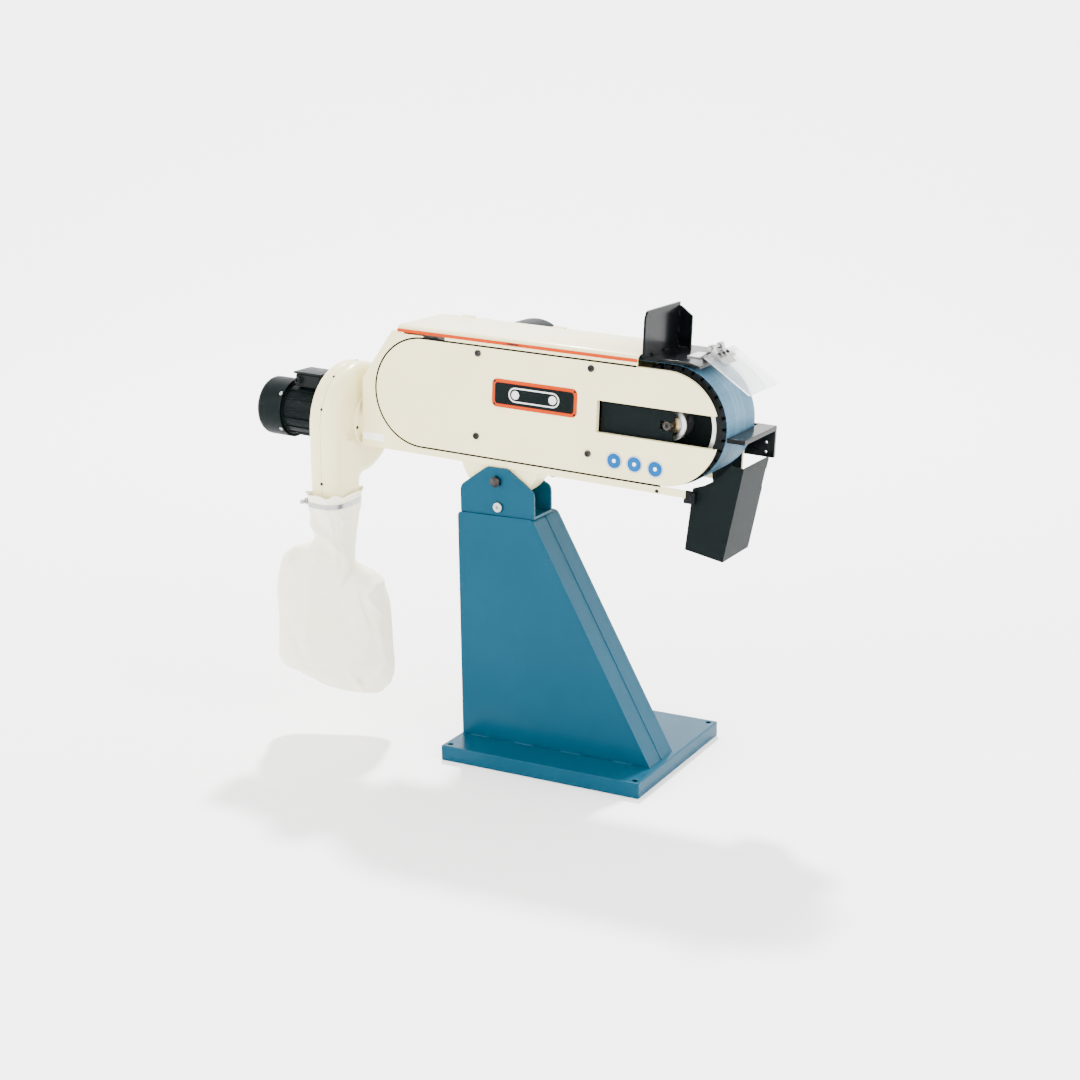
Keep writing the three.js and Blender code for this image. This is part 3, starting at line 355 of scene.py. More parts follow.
def makeClearSheet():
    material, tree, shader = newMaterial("clearSheet")
    setSockets(shader, {"Base Color": (0.93, 0.96, 0.97, 1), "Transmission Weight": 0.9, "IOR": 1.5,
                        "Alpha": 0.55})
    scuffs = addNoise(tree, addObjectPlace(tree), 60, 6, 0.7)
    tree.links.new(addRange(tree, scuffs, 0.45, 0.8, 0.04, 0.35), shader.inputs["Roughness"])
    return material


coat = {"Coat Weight": 0.12, "Coat Roughness": 0.08, "Specular IOR Level": 0.25}
darkCoat = {"Coat Weight": 0.02, "Coat Roughness": 0.08, "Specular IOR Level": 0.07}
dull = {"Specular IOR Level": 0.045}
metal = {"Metallic": 1.0}
finishes = {
    "cream_paint": finishWith("creamEnamel", "paint", (0.8, 0.72, 0.4), 0.3, 0.12, coat,
                              Dust=0.08, Wear=0.25),
    "blue_paint": finishWith("blueEnamel", "paint", (0.0013, 0.041, 0.073), 0.25, 0.018, darkCoat,
                             Dust=0.004, Wear=0.12),
    "black_paint": finishWith("blackEnamel", "paint", (0.002, 0.0027, 0.0032), 0.2, 0.1, darkCoat,
                              Dust=0.003, Wear=0.05),
    "charcoal_paint": finishWith("charcoalEnamel", "paint", (0.0025, 0.0048, 0.005), 0.5, 0.2, dull,
                                 Dust=0.003, Wear=0.0),
    "motor_casting": finishWith("castHousing", "mould", (0.0018, 0.0036, 0.0038), 0.45, 0.35, dull,
                                Grain=420.0),
    "bright_steel": finishWith("brightSteel", "metal", (0.36, 0.36, 0.35), 0.27, 0.12, metal),
    "dark_steel": finishWith("blackenedSteel", "metal", (0.018, 0.018, 0.019), 0.4, 0.15, metal),
    "wheel_aluminium": finishWith("turnedAluminium", "metal", (0.6, 0.6, 0.59), 0.32, 0.2, metal,
                                  Streak=(30, 900, 30)),
    "tyre_rubber": finishWith("tyreRubber", "mould", (0.007, 0.008, 0.009), 0.62, 0.5, dull, Grain=520.0),
    "abrasive_cloth": makeGritCloth(),
    "bag_cotton": makeCotton(),
    "clear_shield": makeClearSheet(),
    "black_plastic": finishWith("mouldedBlack", "mould", (0.008, 0.01, 0.0105), 0.4, 0.3, dull, Grain=900.0),
    "orange_trim": finishWith("orangeTrim", "paint", (0.4, 0.034, 0.0), 0.3, 0.08, dull, Dust=0.02, Wear=0.0),
    "green_plastic": finishWith("greenCap", "mould", (0.01, 0.16, 0.03), 0.3, 0.15),
    "red_plastic": finishWith("redCap", "mould", (0.45, 0.01, 0.008), 0.3, 0.15),
    "brass_ring": finishWith("brassRing", "metal", (0.72, 0.5, 0.22), 0.3, 0.1, metal),
    "blue_vinyl": finishWith("blueVinyl", "mould", (0.0, 0.075, 0.24), 0.35, 0.05, dull),
    "white_vinyl": finishWith("whiteVinyl", "mould", (0.86, 0.86, 0.85), 0.4, 0.05),
    # painted shade for the gap round the door: a flat, near-black finish
    "door_gap_shade": finishWith("gapShadeBlack", "mould", (0.004, 0.004, 0.004), 0.7, 0.2, dull),
}
print("finishes made")


def pick(piece):
    bpy.ops.object.select_all(action="DESELECT")
    piece.select_set(True)
    bpy.context.view_layer.objects.active = piece


def applyModifier(piece, name, kind, **values):
    pick(piece)
    modifier = piece.modifiers.new(name, kind)
    for key, value in values.items():
        setattr(modifier, key, value)
    bpy.ops.object.modifier_apply(modifier=modifier.name)


def roundEdges(piece, width, segments=3, angle=30):
    applyModifier(piece, "roundedEdge", "BEVEL", width=width, segments=segments, limit_method="ANGLE",
                  angle_limit=math.radians(angle), harden_normals=False)


def cutAway(piece, *tools):
    for tool in tools:
        applyModifier(piece, "cutAway", "BOOLEAN", operation="DIFFERENCE", object=tool, solver="EXACT")
        bpy.data.objects.remove(tool)


def gather(*parts):
    bpy.ops.object.select_all(action="DESELECT")
    for part in parts:
        part.select_set(True)
    bpy.context.view_layer.objects.active = parts[0]
    bpy.ops.object.join()
    return bpy.context.object


def addBlock(low, high):
    middle = (Vector(low) + Vector(high)) / 2
    bpy.ops.mesh.primitive_cube_add(size=1, location=middle)
    bpy.context.object.scale = Vector(high) - Vector(low)
    bpy.ops.object.transform_apply(location=True, rotation=True, scale=True)
    return bpy.context.object


turnTo = {"x": (0, math.pi / 2, 0), "y": (math.pi / 2, 0, 0), "z": (0, 0, 0)}


# a centre across an axis, with the place along that axis put in
def spotOn(axis, centre, along=0):
    spot = list(centre)
    spot.insert("xyz".index(axis), along)
    return Vector(spot)


def addRod(axis, radius, start, end, centre, sides=48):
    spot = spotOn(axis, centre, (start + end) / 2)
    bpy.ops.mesh.primitive_cylinder_add(vertices=sides, radius=radius, depth=end - start, location=spot,
                                        rotation=turnTo[axis])
    bpy.ops.object.transform_apply(location=True, rotation=True, scale=True)
    return bpy.context.object


# a chain of points drawn by extruding one vertex from point to point
def drawChain(points):
    bpy.ops.mesh.primitive_plane_add(size=0.001, location=points[0])
    bpy.ops.object.transform_apply(location=True, rotation=True, scale=True)
    bpy.ops.object.mode_set(mode="EDIT")
    bpy.ops.mesh.merge(type="CENTER")
    for here, there in zip(points, points[1:]):
        step = Vector(there) - Vector(here)
        bpy.ops.mesh.extrude_vertices_move(TRANSFORM_OT_translate={"value": step})
    bpy.ops.mesh.select_all(action="SELECT")
    return bpy.context.object


def faceOutwards():
    bpy.ops.mesh.select_all(action="SELECT")
    bpy.ops.mesh.normals_make_consistent(inside=False)
    bpy.ops.object.mode_set(mode="OBJECT")


# a closed outline filled and drawn out along one axis
def addPrism(points, along):
    piece = drawChain([Vector(point) for point in points])
    bpy.ops.mesh.edge_face_add()
    bpy.ops.mesh.extrude_region_move(TRANSFORM_OT_translate={"value": Vector(along)})
    faceOutwards()
    return piece


# a profile of (radius, place along X or Y) pairs, closed on itself or ending on the axis
def addTurned(axis, profile, centre, steps=96):
    along = Vector([float(letter == axis) for letter in "xyz"])
    outward = Vector((0, 0, 1))
    spot = spotOn(axis, centre)
    piece = drawChain([spot + outward * r + along * place for r, place in profile])
    bpy.ops.mesh.spin(steps=steps, angle=math.tau, center=spot, axis=along)
    bpy.ops.mesh.select_all(action="SELECT")
    bpy.ops.mesh.remove_doubles(threshold=0.00001)
    faceOutwards()
    return piece


# a box-shaped section for a plain turned ring
def boxSection(inner, outer, low, high):
    return [(inner, low), (outer, low), (outer, high), (inner, high), (inner, low)]


# rings of equal count skinned into one closed or open-ended form
def addSkin(rings, ends=True, loop=False):
    count = len(rings[0])
    faces = []
    for k in range(len(rings) - (0 if loop else 1)):
        after = (k + 1) % len(rings)
        for i in range(count):
            j = (i + 1) % count
            faces.append((k * count + i, after * count + i, after * count + j, k * count + j))
    if ends:
        faces.append(tuple(range(count)))
        faces.append(tuple(reversed(range((len(rings) - 1) * count, len(rings) * count))))
    mesh = bpy.data.meshes.new("skin")
    mesh.from_pydata([tuple(point) for ring in rings for point in ring], [], faces)
    piece = bpy.data.objects.new("skin", mesh)
    bpy.context.collection.objects.link(piece)
    pick(piece)
    bpy.ops.object.mode_set(mode="EDIT")
    faceOutwards()
    return piece


def arcPoints(centre, radius, start, end, count):
    angles = [math.radians(start + (end - start) * i / count) for i in range(count + 1)]
    return [(centre[0] + radius * math.cos(a), centre[1] + radius * math.sin(a)) for a in angles]


def finishPiece(piece, name, body, slot, place=None, stands=(), smooth=35, finish=None):
    piece.name = name
    if place is not None:
        piece.data.transform(place)
    piece.data.materials.clear()
    piece.data.materials.append(finish or finishes[slot])
    pick(piece)
    bpy.ops.object.shade_smooth_by_angle(angle=math.radians(smooth))
    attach(piece, body)
    if stands:
        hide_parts(*stands)


def headPiece(piece, name, slot, body="head", **more):
    finishPiece(piece, name, body, slot, headFrame, **more)


# the CAD nodes keep their meshes; a weld and a small bevel soften their edges
def softenNodes():
    plainBevel = 0.0006
    bevels = {"pedestal_front": 0.0035, "pedestal_rear": 0.0035, "base_tray": 0.0025, "lid_trim": 0.0008,
              "front_door": 0.0012, "case_shell": 0.001, "back_plate": 0.001, "stop_base": 0.0012,
              "top_stop": 0.001, "work_rest": 0.0014, "spark_chute": 0.001, "tension_fork": 0.0018,
              "switch_box": 0.0015, "eye_shield": 0.0006, "tilt_bracket": 0.001}
    slots = {entry["node"]: entry["material_slot"] for entry in frame["record"]["subparts"]}
    slots["contact_axle"] = "dark_steel"
    for name, node in nodes.items():
        node.data.materials.clear()
        node.data.materials.append(finishes[slots[name]])
        node.data.polygons.foreach_set("use_smooth", [True] * len(node.data.polygons))
        weld = node.modifiers.new("weldedFaces", "WELD")
        weld.merge_threshold = 0.00001
        edge = node.modifiers.new("softEdge", "BEVEL")
        edge.width = bevels.get(name, plainBevel)
        edge.segments = 3
        edge.limit_method = "ANGLE"
        edge.angle_limit = math.radians(35)
        edge.use_clamp_overlap = True
        normals = node.modifiers.new("flatFaces", "WEIGHTED_NORMAL")
        normals.keep_sharp = True


softenNodes()
print("frame nodes softened and finished")


# the direction across the head's length at an angle from Y towards Z
def outFrom(angle):
    a = math.radians(angle)
    return Vector((0, math.cos(a), math.sin(a)))


def makeBlower():
    shape = {"y": -0.065, "z": 0.081, "radius": 0.132, "left": -0.197, "right": -0.078, "low": -0.118,
             "rear": -0.461, "seam": -0.42, "front": -0.381, "shoulder": 0.026, "gap": 0.0006, "taper": 0.011,
             "throat": 0.03, "meetTurn": 13}
    flange = {"bore": 0.042, "lip": 0.0475, "rim": 0.064, "bevel": 0.002, "face": -0.371, "lipEnd": -0.3621,
              "screws": 0.0555}
    vents = {"columns": 5, "y": -0.146, "z": 0.052, "pitch": 0.0055, "wide": 0.0034, "halfHigh": 0.0028,
             "stand": 0.0045, "rise": 0.009, "riseMore": 0.003}
    centre = (shape["y"], shape["z"])

    # the scroll's outline, drawn in by one amount on every side but the outlet's open end
    def outline(x, inset):
        left, right, radius = shape["left"] + inset, shape["right"] - inset, shape["radius"] - inset
        meet = -math.degrees(math.acos((right - shape["y"]) / radius))
        rim = arcPoints(centre, radius, meet + shape["meetTurn"], 180, 80)
        corner = (right, centre[1] - math.sqrt(radius ** 2 - (right - shape["y"]) ** 2))
        foot = (right, corner[1] - shape["throat"])
        throat = [(right, shape["low"] + (foot[1] - shape["low"]) * k / 5) for k in range(5)]
        for k in range(9):
            t = k / 9
            throat.append(tuple(foot[i] * (1 - t) ** 2 + corner[i] * 2 * t * (1 - t) + rim[0][i] * t * t
                                for i in (0, 1)))
        side = [(left + shape["taper"] * (k / 12) ** 1.5, rim[-1][1] + (shape["low"] - rim[-1][1]) * k / 12)
                for k in range(1, 13)]
        return [(x, y, z) for y, z in throat + rim + side]

    def half(flat, seam, out):
        rings = [outline(seam, 0)]
        for i in range(13):
            a = math.pi / 2 * i / 12
            bend = shape["shoulder"]
            rings.append(outline(flat - out * bend * (1 - math.sin(a)), bend * (1 - math.cos(a))))
        return addSkin(rings)

    front = half(shape["front"], shape["seam"] + shape["gap"], 1)
    rear = half(shape["rear"], shape["seam"] - shape["gap"], -1)
    for piece in (front, rear):
        roundEdges(piece, 0.0012, 2, 70)
    headPiece(front, "blower_front_shell", "cream_paint", stands=["blower_front"])
    headPiece(rear, "blower_rear_shell", "cream_paint", stands=["blower_rear"])
    tongue = addSkin([outline(shape["seam"] + x, 0.0016) for x in (-0.004, 0.004)])
    headPiece(tongue, "blower_seam_lip", "cream_paint")
    floor = shape["front"] - 0.001
    bore, lip, rim, face = (flange[key] for key in ("bore", "lip", "rim", "face"))
    ring = [(bore, floor), (rim, floor), (rim, face - 0.0018), (rim - flange["bevel"], face), (lip, face),
            (lip, flange["lipEnd"]), (bore, flange["lipEnd"]), (bore, floor)]
    headPiece(addTurned("x", ring, centre), "blower_inlet_flange", "cream_paint", stands=["blower_inlet"])
    louvres = []
    for i in range(vents["columns"]):
        rise = vents["rise"] + vents["riseMore"] * (2 - abs(i - 2))
        y = vents["y"] + vents["pitch"] * i
        for k in (-1, 0, 1):
            z = vents["z"] + k * rise * 0.75
            louvre = addBlock((floor - 0.001, y, z - vents["halfHigh"]),
                              (floor + vents["stand"], y + vents["wide"], z + vents["halfHigh"]))
            roundEdges(louvre, 0.0015, 3)
            louvres.append(louvre)
    headPiece(gather(*louvres), "blower_louvres", "cream_paint")
    screws = []
    for angle in (84, 126, 163):
        out = outFrom(angle)
        spot = Vector((shape["seam"], *centre)) + out * (shape["radius"] - 0.0008)
        screws.append(addFacing(out, spot, 0.0036, 0.0024))
    lowSpot = Vector((shape["seam"], shape["left"] + 0.0052, -0.055))
    screws.append(addFacing(Vector((0, -1, 0)), lowSpot, 0.0036, 0.0024))
    for angle in (10, 100, 190, 280):
        spot = Vector((face, *centre)) + outFrom(angle) * flange["screws"]
        screws.append(addFacing(Vector((1, 0, 0)), spot, 0.0042, 0.0028))
    headPiece(gather(*screws), "blower_screws", "dark_steel")


# a cross-recessed screw head looking along a direction
def addFacing(direction, spot, radius, height):
    bpy.ops.mesh.primitive_uv_sphere_add(segments=24, ring_count=16, radius=radius)
    dome = bpy.context.object
    dome.data.transform(Matrix.Scale(height / radius, 4, (0, 0, 1)))
    for turn in (0, math.pi / 2):
        long, wide = radius * 0.6, radius * 0.13
        slit = addBlock((-long, -wide, height * 0.45), (long, wide, height * 2))
        slit.data.transform(Matrix.Rotation(turn, 4, "Z"))
        cutAway(dome, slit)
    turned = direction.to_track_quat("Z", "Y").to_matrix().to_4x4()
    dome.data.transform(Matrix.Translation(spot) @ turned)
    return dome


# a pressed fan cowl: rounded cup, ring-and-spoke grille in its end
def addCowl(axis, centre, radius, lip, end, bend, spokes=6):
    wall, halfWire, halfSpoke = 0.0022, 0.0017, 0.0022
    out = 1 if end > lip else -1
    outer = [(radius - bend + bend * math.sin(a), end - out * bend * (1 - math.cos(a)))
             for a in [math.radians(90 - 15 * i) for i in range(7)]]
    inner = [(r - wall, x - out * wall) for r, x in reversed(outer)]
    mouth = radius - bend - 0.006
    profile = [(radius - wall, lip), (radius, lip)] + outer
    profile += [(mouth, end), (mouth, end - out * wall)] + inner
    parts = [addTurned(axis, profile + profile[:1], centre)]
    low, high = sorted((end - out * wall, end))
    for r in [mouth * k for k in (0.24, 0.42, 0.6, 0.78, 0.93)]:
        parts.append(addTurned(axis, boxSection(r - halfWire, r + halfWire, low, high), centre, 72))
    for i in range(spokes):
        low, high = sorted((end - out * 2 * wall, end - out * 0.0004))
        spoke = addBlock((low, -halfSpoke, mouth * 0.2), (high, halfSpoke, mouth + 0.003))
        spoke.data.transform(Matrix.Rotation(math.tau * i / spokes, 4, "X"))
        if axis == "y":
            spoke.data.transform(Matrix.Rotation(math.pi / 2, 4, "Z"))
        spoke.data.transform(Matrix.Translation(spotOn(axis, centre)))
        parts.append(spoke)
    return gather(*parts)


# ribs stood round an axis through the centre, each a low-to-high block turned into place
def addRibs(count, axis, centre, blockOf, rounding):
    ribs = []
    for i in range(count):
        rib = addBlock(*blockOf(i))
        roundEdges(rib, rounding, 2)
        rib.data.transform(Matrix.Rotation(math.tau * (i + 0.5) / count, 4, axis.upper()))
        rib.data.transform(Matrix.Translation(spotOn(axis, centre)))
        ribs.append(rib)
    return ribs


def makeFanMotor():
    motor = {"y": -0.065, "z": 0.081, "body": 0.0595, "flange": 0.0645, "bead": 0.0635, "cowl": 0.069,
             "front": -0.4613, "bodyEnd": -0.588, "end": -0.652, "ribs": 16, "ribHalf": 0.0011}
    centre = (motor["y"], motor["z"])
    front, bodyEnd, body, rim, bead = (motor[key] for key in ("front", "bodyEnd", "body", "flange", "bead"))
    profile = [(0, front), (rim - 0.002, front), (rim, front - 0.002), (rim, front - 0.011),
               (body, front - 0.014), (body, bodyEnd + 0.013), (bead, bodyEnd + 0.011), (bead, bodyEnd),
               (0, bodyEnd)]
    barrel = addTurned("x", profile, centre)

    def ribBlock(i):
        half = motor["ribHalf"]
        return (bodyEnd + 0.004, -half, 0.055), (front - 0.006, half, 0.0622 if i % 4 else 0.0636)

    ribs = addRibs(motor["ribs"], "x", centre, ribBlock, 0.0006)
    headPiece(gather(barrel, *ribs), "fan_motor_housing", "motor_casting", stands=["fan_motor_body"],
              smooth=30)
    cowl = addCowl("x", centre, motor["cowl"], bodyEnd + 0.008, motor["end"], 0.016)
    headPiece(cowl, "fan_motor_hood", "charcoal_paint", stands=["fan_motor_cowl"])
    screws = []
    for angle in (38, 142, 218, 322):
        out = outFrom(angle)
        spot = Vector((bodyEnd + 0.001, *centre)) + out * (motor["cowl"] - 0.0006)
        screws.append(addFacing(out, spot, 0.0046, 0.003))
    headPiece(gather(*screws), "hood_screws", "bright_steel")
    box = addBlock((-0.562, -0.097, 0.1395), (-0.49, -0.033, 0.171))
    roundEdges(box, 0.005, 4)
    cap = addBlock((-0.565, -0.1, 0.1713), (-0.487, -0.03, 0.1765))
    roundEdges(cap, 0.002, 3)
    gland = [(0, -0.094), (0.0105, -0.094), (0.0105, -0.1), (0.0088, -0.1), (0.0088, -0.104),
             (0.0072, -0.1085), (0.005, -0.11), (0.003, -0.11), (0.003, -0.104), (0, -0.104)]
    cableEntry = addTurned("y", gland, (-0.548, 0.157), 32)
    headPiece(gather(box, cap, cableEntry), "fan_wiring_box", "black_plastic", stands=["fan_terminal_box"])


def makeMainMotor():
    motor = {"x": -0.2013, "z": 0.1747, "cowl": 0.098, "cowlLip": 0.314, "cowlEnd": 0.437, "cowlBend": 0.024,
             "bore": 0.052, "body": 0.079, "bodyStart": 0.0983, "bodyEnd": 0.33, "fins": 40,
             "finHalf": 0.0011, "finTop": 0.0885}
    centre = (motor["x"], motor["z"])
    cowl = addCowl("y", centre, motor["cowl"], motor["cowlLip"], motor["cowlEnd"], motor["cowlBend"], 8)
    headPiece(cowl, "main_motor_hood", "charcoal_paint", stands=["motor_cowl"])

    def finBlock(i):
        return (-motor["finHalf"], 0.1, 0.076), (motor["finHalf"], 0.329, motor["finTop"])

    fins = addRibs(motor["fins"], "y", centre, finBlock, 0.0007)
    section = boxSection(motor["bore"], motor["body"], motor["bodyStart"], motor["bodyEnd"])
    barrel = addTurned("y", section, centre)
    foot = addBlock((-0.2313, 0.15, 0.0603), (-0.1713, 0.24, 0.1))
    headPiece(gather(barrel, foot, *fins), "main_motor_housing", "motor_casting", stands=["motor_body"],
              smooth=30)


# an outline of two half turns joined by straight runs
def racetrack(left, right, z, radius, count=72):
    return arcPoints((right, z), radius, -90, 90, count) + arcPoints((left, z), radius, 90, 270, count)


def makeBeltRun():
    run = {"drive": -0.2013, "contact": 0.3943, "z": 0.1747, "outer": 0.1298, "thick": 0.0012,
           "front": -0.077, "rear": 0.073, "tyre": 0.1279, "tyreBore": 0.1063, "grooves": 33}
    outer = racetrack(run["drive"], run["contact"], run["z"], run["outer"])
    inner = racetrack(run["drive"], run["contact"], run["z"], run["outer"] - run["thick"])
    width = run["rear"] - run["front"]
    belt = addPrism([(x, run["front"], z) for x, z in outer], (0, width, 0))
    cutAway(belt, addPrism([(x, run["front"] - 0.01, z) for x, z in inner], (0, width + 0.02, 0)))
    headPiece(belt, "grit_belt", "abrasive_cloth", stands=["abrasive_belt"])
    centre = (run["contact"], run["z"])
    bore, rim = run["tyreBore"], run["tyre"]
    section = [(bore, -0.08), (rim - 0.0025, -0.08), (rim, -0.0778), (rim, 0.0678), (rim - 0.0025, 0.07),
               (bore, 0.07), (bore, -0.08)]
    tyre = addTurned("y", section, centre, 198)
    teeth = []
    for i in range(run["grooves"]):
        tooth = addBlock((-0.0032, -0.09, rim - 0.0085), (0.0032, 0.08, rim + 0.004))
        tooth.data.transform(Matrix.Rotation(math.tau * i / run["grooves"], 4, "Y"))
        tooth.data.transform(Matrix.Translation((centre[0], 0, centre[1])))
        teeth.append(tooth)
    cutAway(tyre, gather(*teeth))
    headPiece(tyre, "grooved_tyre", "tyre_rubber", body="contact_wheel", stands=["contact_tyre"], smooth=30)
    rimRing = [(0.096, -0.0775), (0.0975, -0.079), (0.106, -0.079), (0.106, 0.069), (0.096, 0.069),
               (0.096, -0.0775)]
    headPiece(addTurned("y", rimRing, centre), "wheel_rim", "wheel_aluminium", body="contact_wheel",
              stands=["contact_hub"])
    web = [(0.034, -0.034), (0.05, -0.036), (0.096, -0.028), (0.096, -0.012), (0.05, -0.004), (0.034, -0.006),
           (0.034, -0.034)]
    headPiece(addTurned("y", web, centre), "wheel_web", "charcoal_paint", body="contact_wheel")
    boss = [(0.024, -0.072), (0.0255, -0.074), (0.033, -0.074), (0.035, -0.072), (0.035, 0.06), (0.024, 0.06),
            (0.024, 0.046), (0.02, 0.046), (0.02, -0.06), (0.024, -0.06), (0.024, -0.072)]
    headPiece(addTurned("y", boss, centre), "wheel_boss", "wheel_aluminium", body="contact_wheel")
    sealRingAndGapShade = boxSection(0.0125, 0.0195, -0.0745, -0.0732)
    headPiece(addTurned("y", sealRingAndGapShade, centre), "bearing_shield_ring", "bright_steel", body="contact_wheel",
              finish=finishes["brass_ring"])


# the tension spring, a coil of wire fixed to the head at one length
def makeTensionCoil():
    coil = {"left": 0.0665, "z": 0.1747, "radius": 0.007, "wire": 0.0012, "turns": 5, "pitch": 0.006,
            "keep": 0.36}
    bpy.ops.mesh.primitive_circle_add(vertices=12, radius=coil["wire"], location=(0, 0, coil["radius"]),
                                      rotation=(math.pi / 2, 0, 0))
    bpy.ops.object.transform_apply(location=True, rotation=True, scale=True)
    spring = bpy.context.object
    applyModifier(spring, "coil", "SCREW", axis="X", screw_offset=coil["pitch"], iterations=coil["turns"],
                  steps=28, render_steps=28)
    pick(spring)
    bpy.ops.object.mode_set(mode="EDIT")
    bpy.ops.mesh.select_all(action="SELECT")
    bpy.ops.mesh.fill_holes(sides=0)
    faceOutwards()
    spring.data.transform(Matrix.Translation((coil["left"], 0, coil["z"])))
    headPiece(spring, "tension_coil", "bright_steel", stands=["tension_spring"])
    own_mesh(spring)


def makeLid():
    cover = {"left": -0.269, "right": 0.328, "front": -0.112, "rear": 0.082, "low": 0.3056, "top": 0.32,
             "bend": 0.0135, "rearBend": 0.004, "sheet": 0.0022}
    hinge = {"places": (-0.22, 0.02, 0.26), "width": 0.03, "barrel": 0.0078, "bore": 0.0043,
             "y": 0.09, "z": 0.314}

    def section(inset, low):
        bend = cover["bend"] - inset
        corner = (cover["front"] + inset + bend, cover["top"] - inset - bend)
        curve = arcPoints(corner, bend, 90, 180, 14)
        rearBend = cover["rearBend"]
        rearCorner = (cover["rear"] - inset - rearBend, cover["top"] - inset - rearBend)
        rear = arcPoints(rearCorner, rearBend, 0, 90, 5)
        return [(cover["front"] + inset, low), (cover["rear"] - inset, low)] + rear + curve

    length = cover["right"] - cover["left"]
    skin = addPrism([(cover["left"], y, z) for y, z in section(0, cover["low"])], (length, 0, 0))
    inside = section(cover["sheet"], cover["low"] - 0.01)
    hollow = addPrism([(cover["left"] + cover["sheet"], y, z) for y, z in inside], (length + 0.01, 0, 0))
    cutAway(skin, hollow)
    roundEdges(skin, 0.0006, 2, 50)
    knuckles = []
    pin = (hinge["y"], hinge["z"])
    for x in hinge["places"]:
        end = x + hinge["width"]
        leaf = addBlock((x, 0.0818, 0.3085), (end, 0.0872, 0.3195))
        barrel = addRod("x", hinge["barrel"], x, end, pin, 32)
        cutAway(barrel, addRod("x", hinge["bore"], x - 0.01, end + 0.01, pin, 24))
        knuckles += [leaf, barrel]
    headPiece(gather(skin, *knuckles), "lid_cover", "cream_paint", body="top_lid", stands=["lid"])


# a rounded square outline, flatter on its sides as the power rises
def squareRing(x, y, z, halfX, halfY, power, count, turn=0.0):
    ring = []
    for i in range(count):
        a = math.tau * i / count
        px = halfX * math.copysign(abs(math.cos(a)) ** (2 / power), math.cos(a))
        py = halfY * math.copysign(abs(math.sin(a)) ** (2 / power), math.sin(a))
        ring.append(Vector((x + px * math.cos(turn) - py * math.sin(turn),
                            y + px * math.sin(turn) + py * math.cos(turn), z)))
    return ring


# the values between two stops, eased in and out
def ease(value, stops):
    for (a, first), (b, second) in zip(stops, stops[1:]):
        if value <= b:
            t = max(0.0, (value - a) / (b - a))
            t = t * t * (3 - 2 * t)
            return [p + (q - p) * t for p, q in zip(first, second)]
    return list(stops[-1][1])


# folds pressed across the front of the bag, in mm: both ends as (wide, down), then width and height
creases = [((-36, 62), (30, 146), 6, 3.2), ((-22, 58), (38, 120), 5, -2.4),
           ((-48, 84), (-6, 150), 6, -2.2), ((38, 60), (54, 52), 4, 2.5), ((40, 160), (12, 196), 6, 3.4),
           ((52, 176), (24, 206), 6, -2.6), ((-112, 156), (-102, 182), 4, 4.0),
           ((-104, 146), (-110, 176), 3.5, -3.4), ((-94, 150), (-96, 190), 5, 2.8),
           ((-50, 120), (-47, 345), 2.2, 1.1), ((100, 204), (76, 228), 4, 3.0),
           ((78, 236), (114, 276), 7, 3.2), ((66, 224), (92, 300), 8, -2.6), ((4, 396), (62, 392), 7, 3.2),
           ((-10, 424), (24, 432), 8, -3.0), ((22, 429), (52, 470), 6, 4.0),
           ((52, 470), (92, 424), 6, 4.2), ((54, 434), (56, 462), 10, -3.6), ((116, 398), (84, 440), 6, 3.4),
           ((-120, 300), (-60, 424), 12, -2.6), ((-30, 250), (-60, 372), 16, 2.4),
           ((104, 300), (118, 392), 8, 2.4), ((10, 240), (40, 330), 18, -2.0)]


def creaseAt(wide, down):
    lift = 0.0
    for (w0, d0), (w1, d1), width, height in creases:
        dw, dd = w1 - w0, d1 - d0
        t = ((wide - w0) * dw + (down - d0) * dd) / (dw * dw + dd * dd)
        near = max(0.0, min(1.0, t))
        away = math.hypot(wide - w0 - near * dw, down - d0 - near * dd)
        lift += height * math.exp(-(away / width) ** 2) * (0.6 + 0.4 * math.sin(math.pi * near))
    return lift


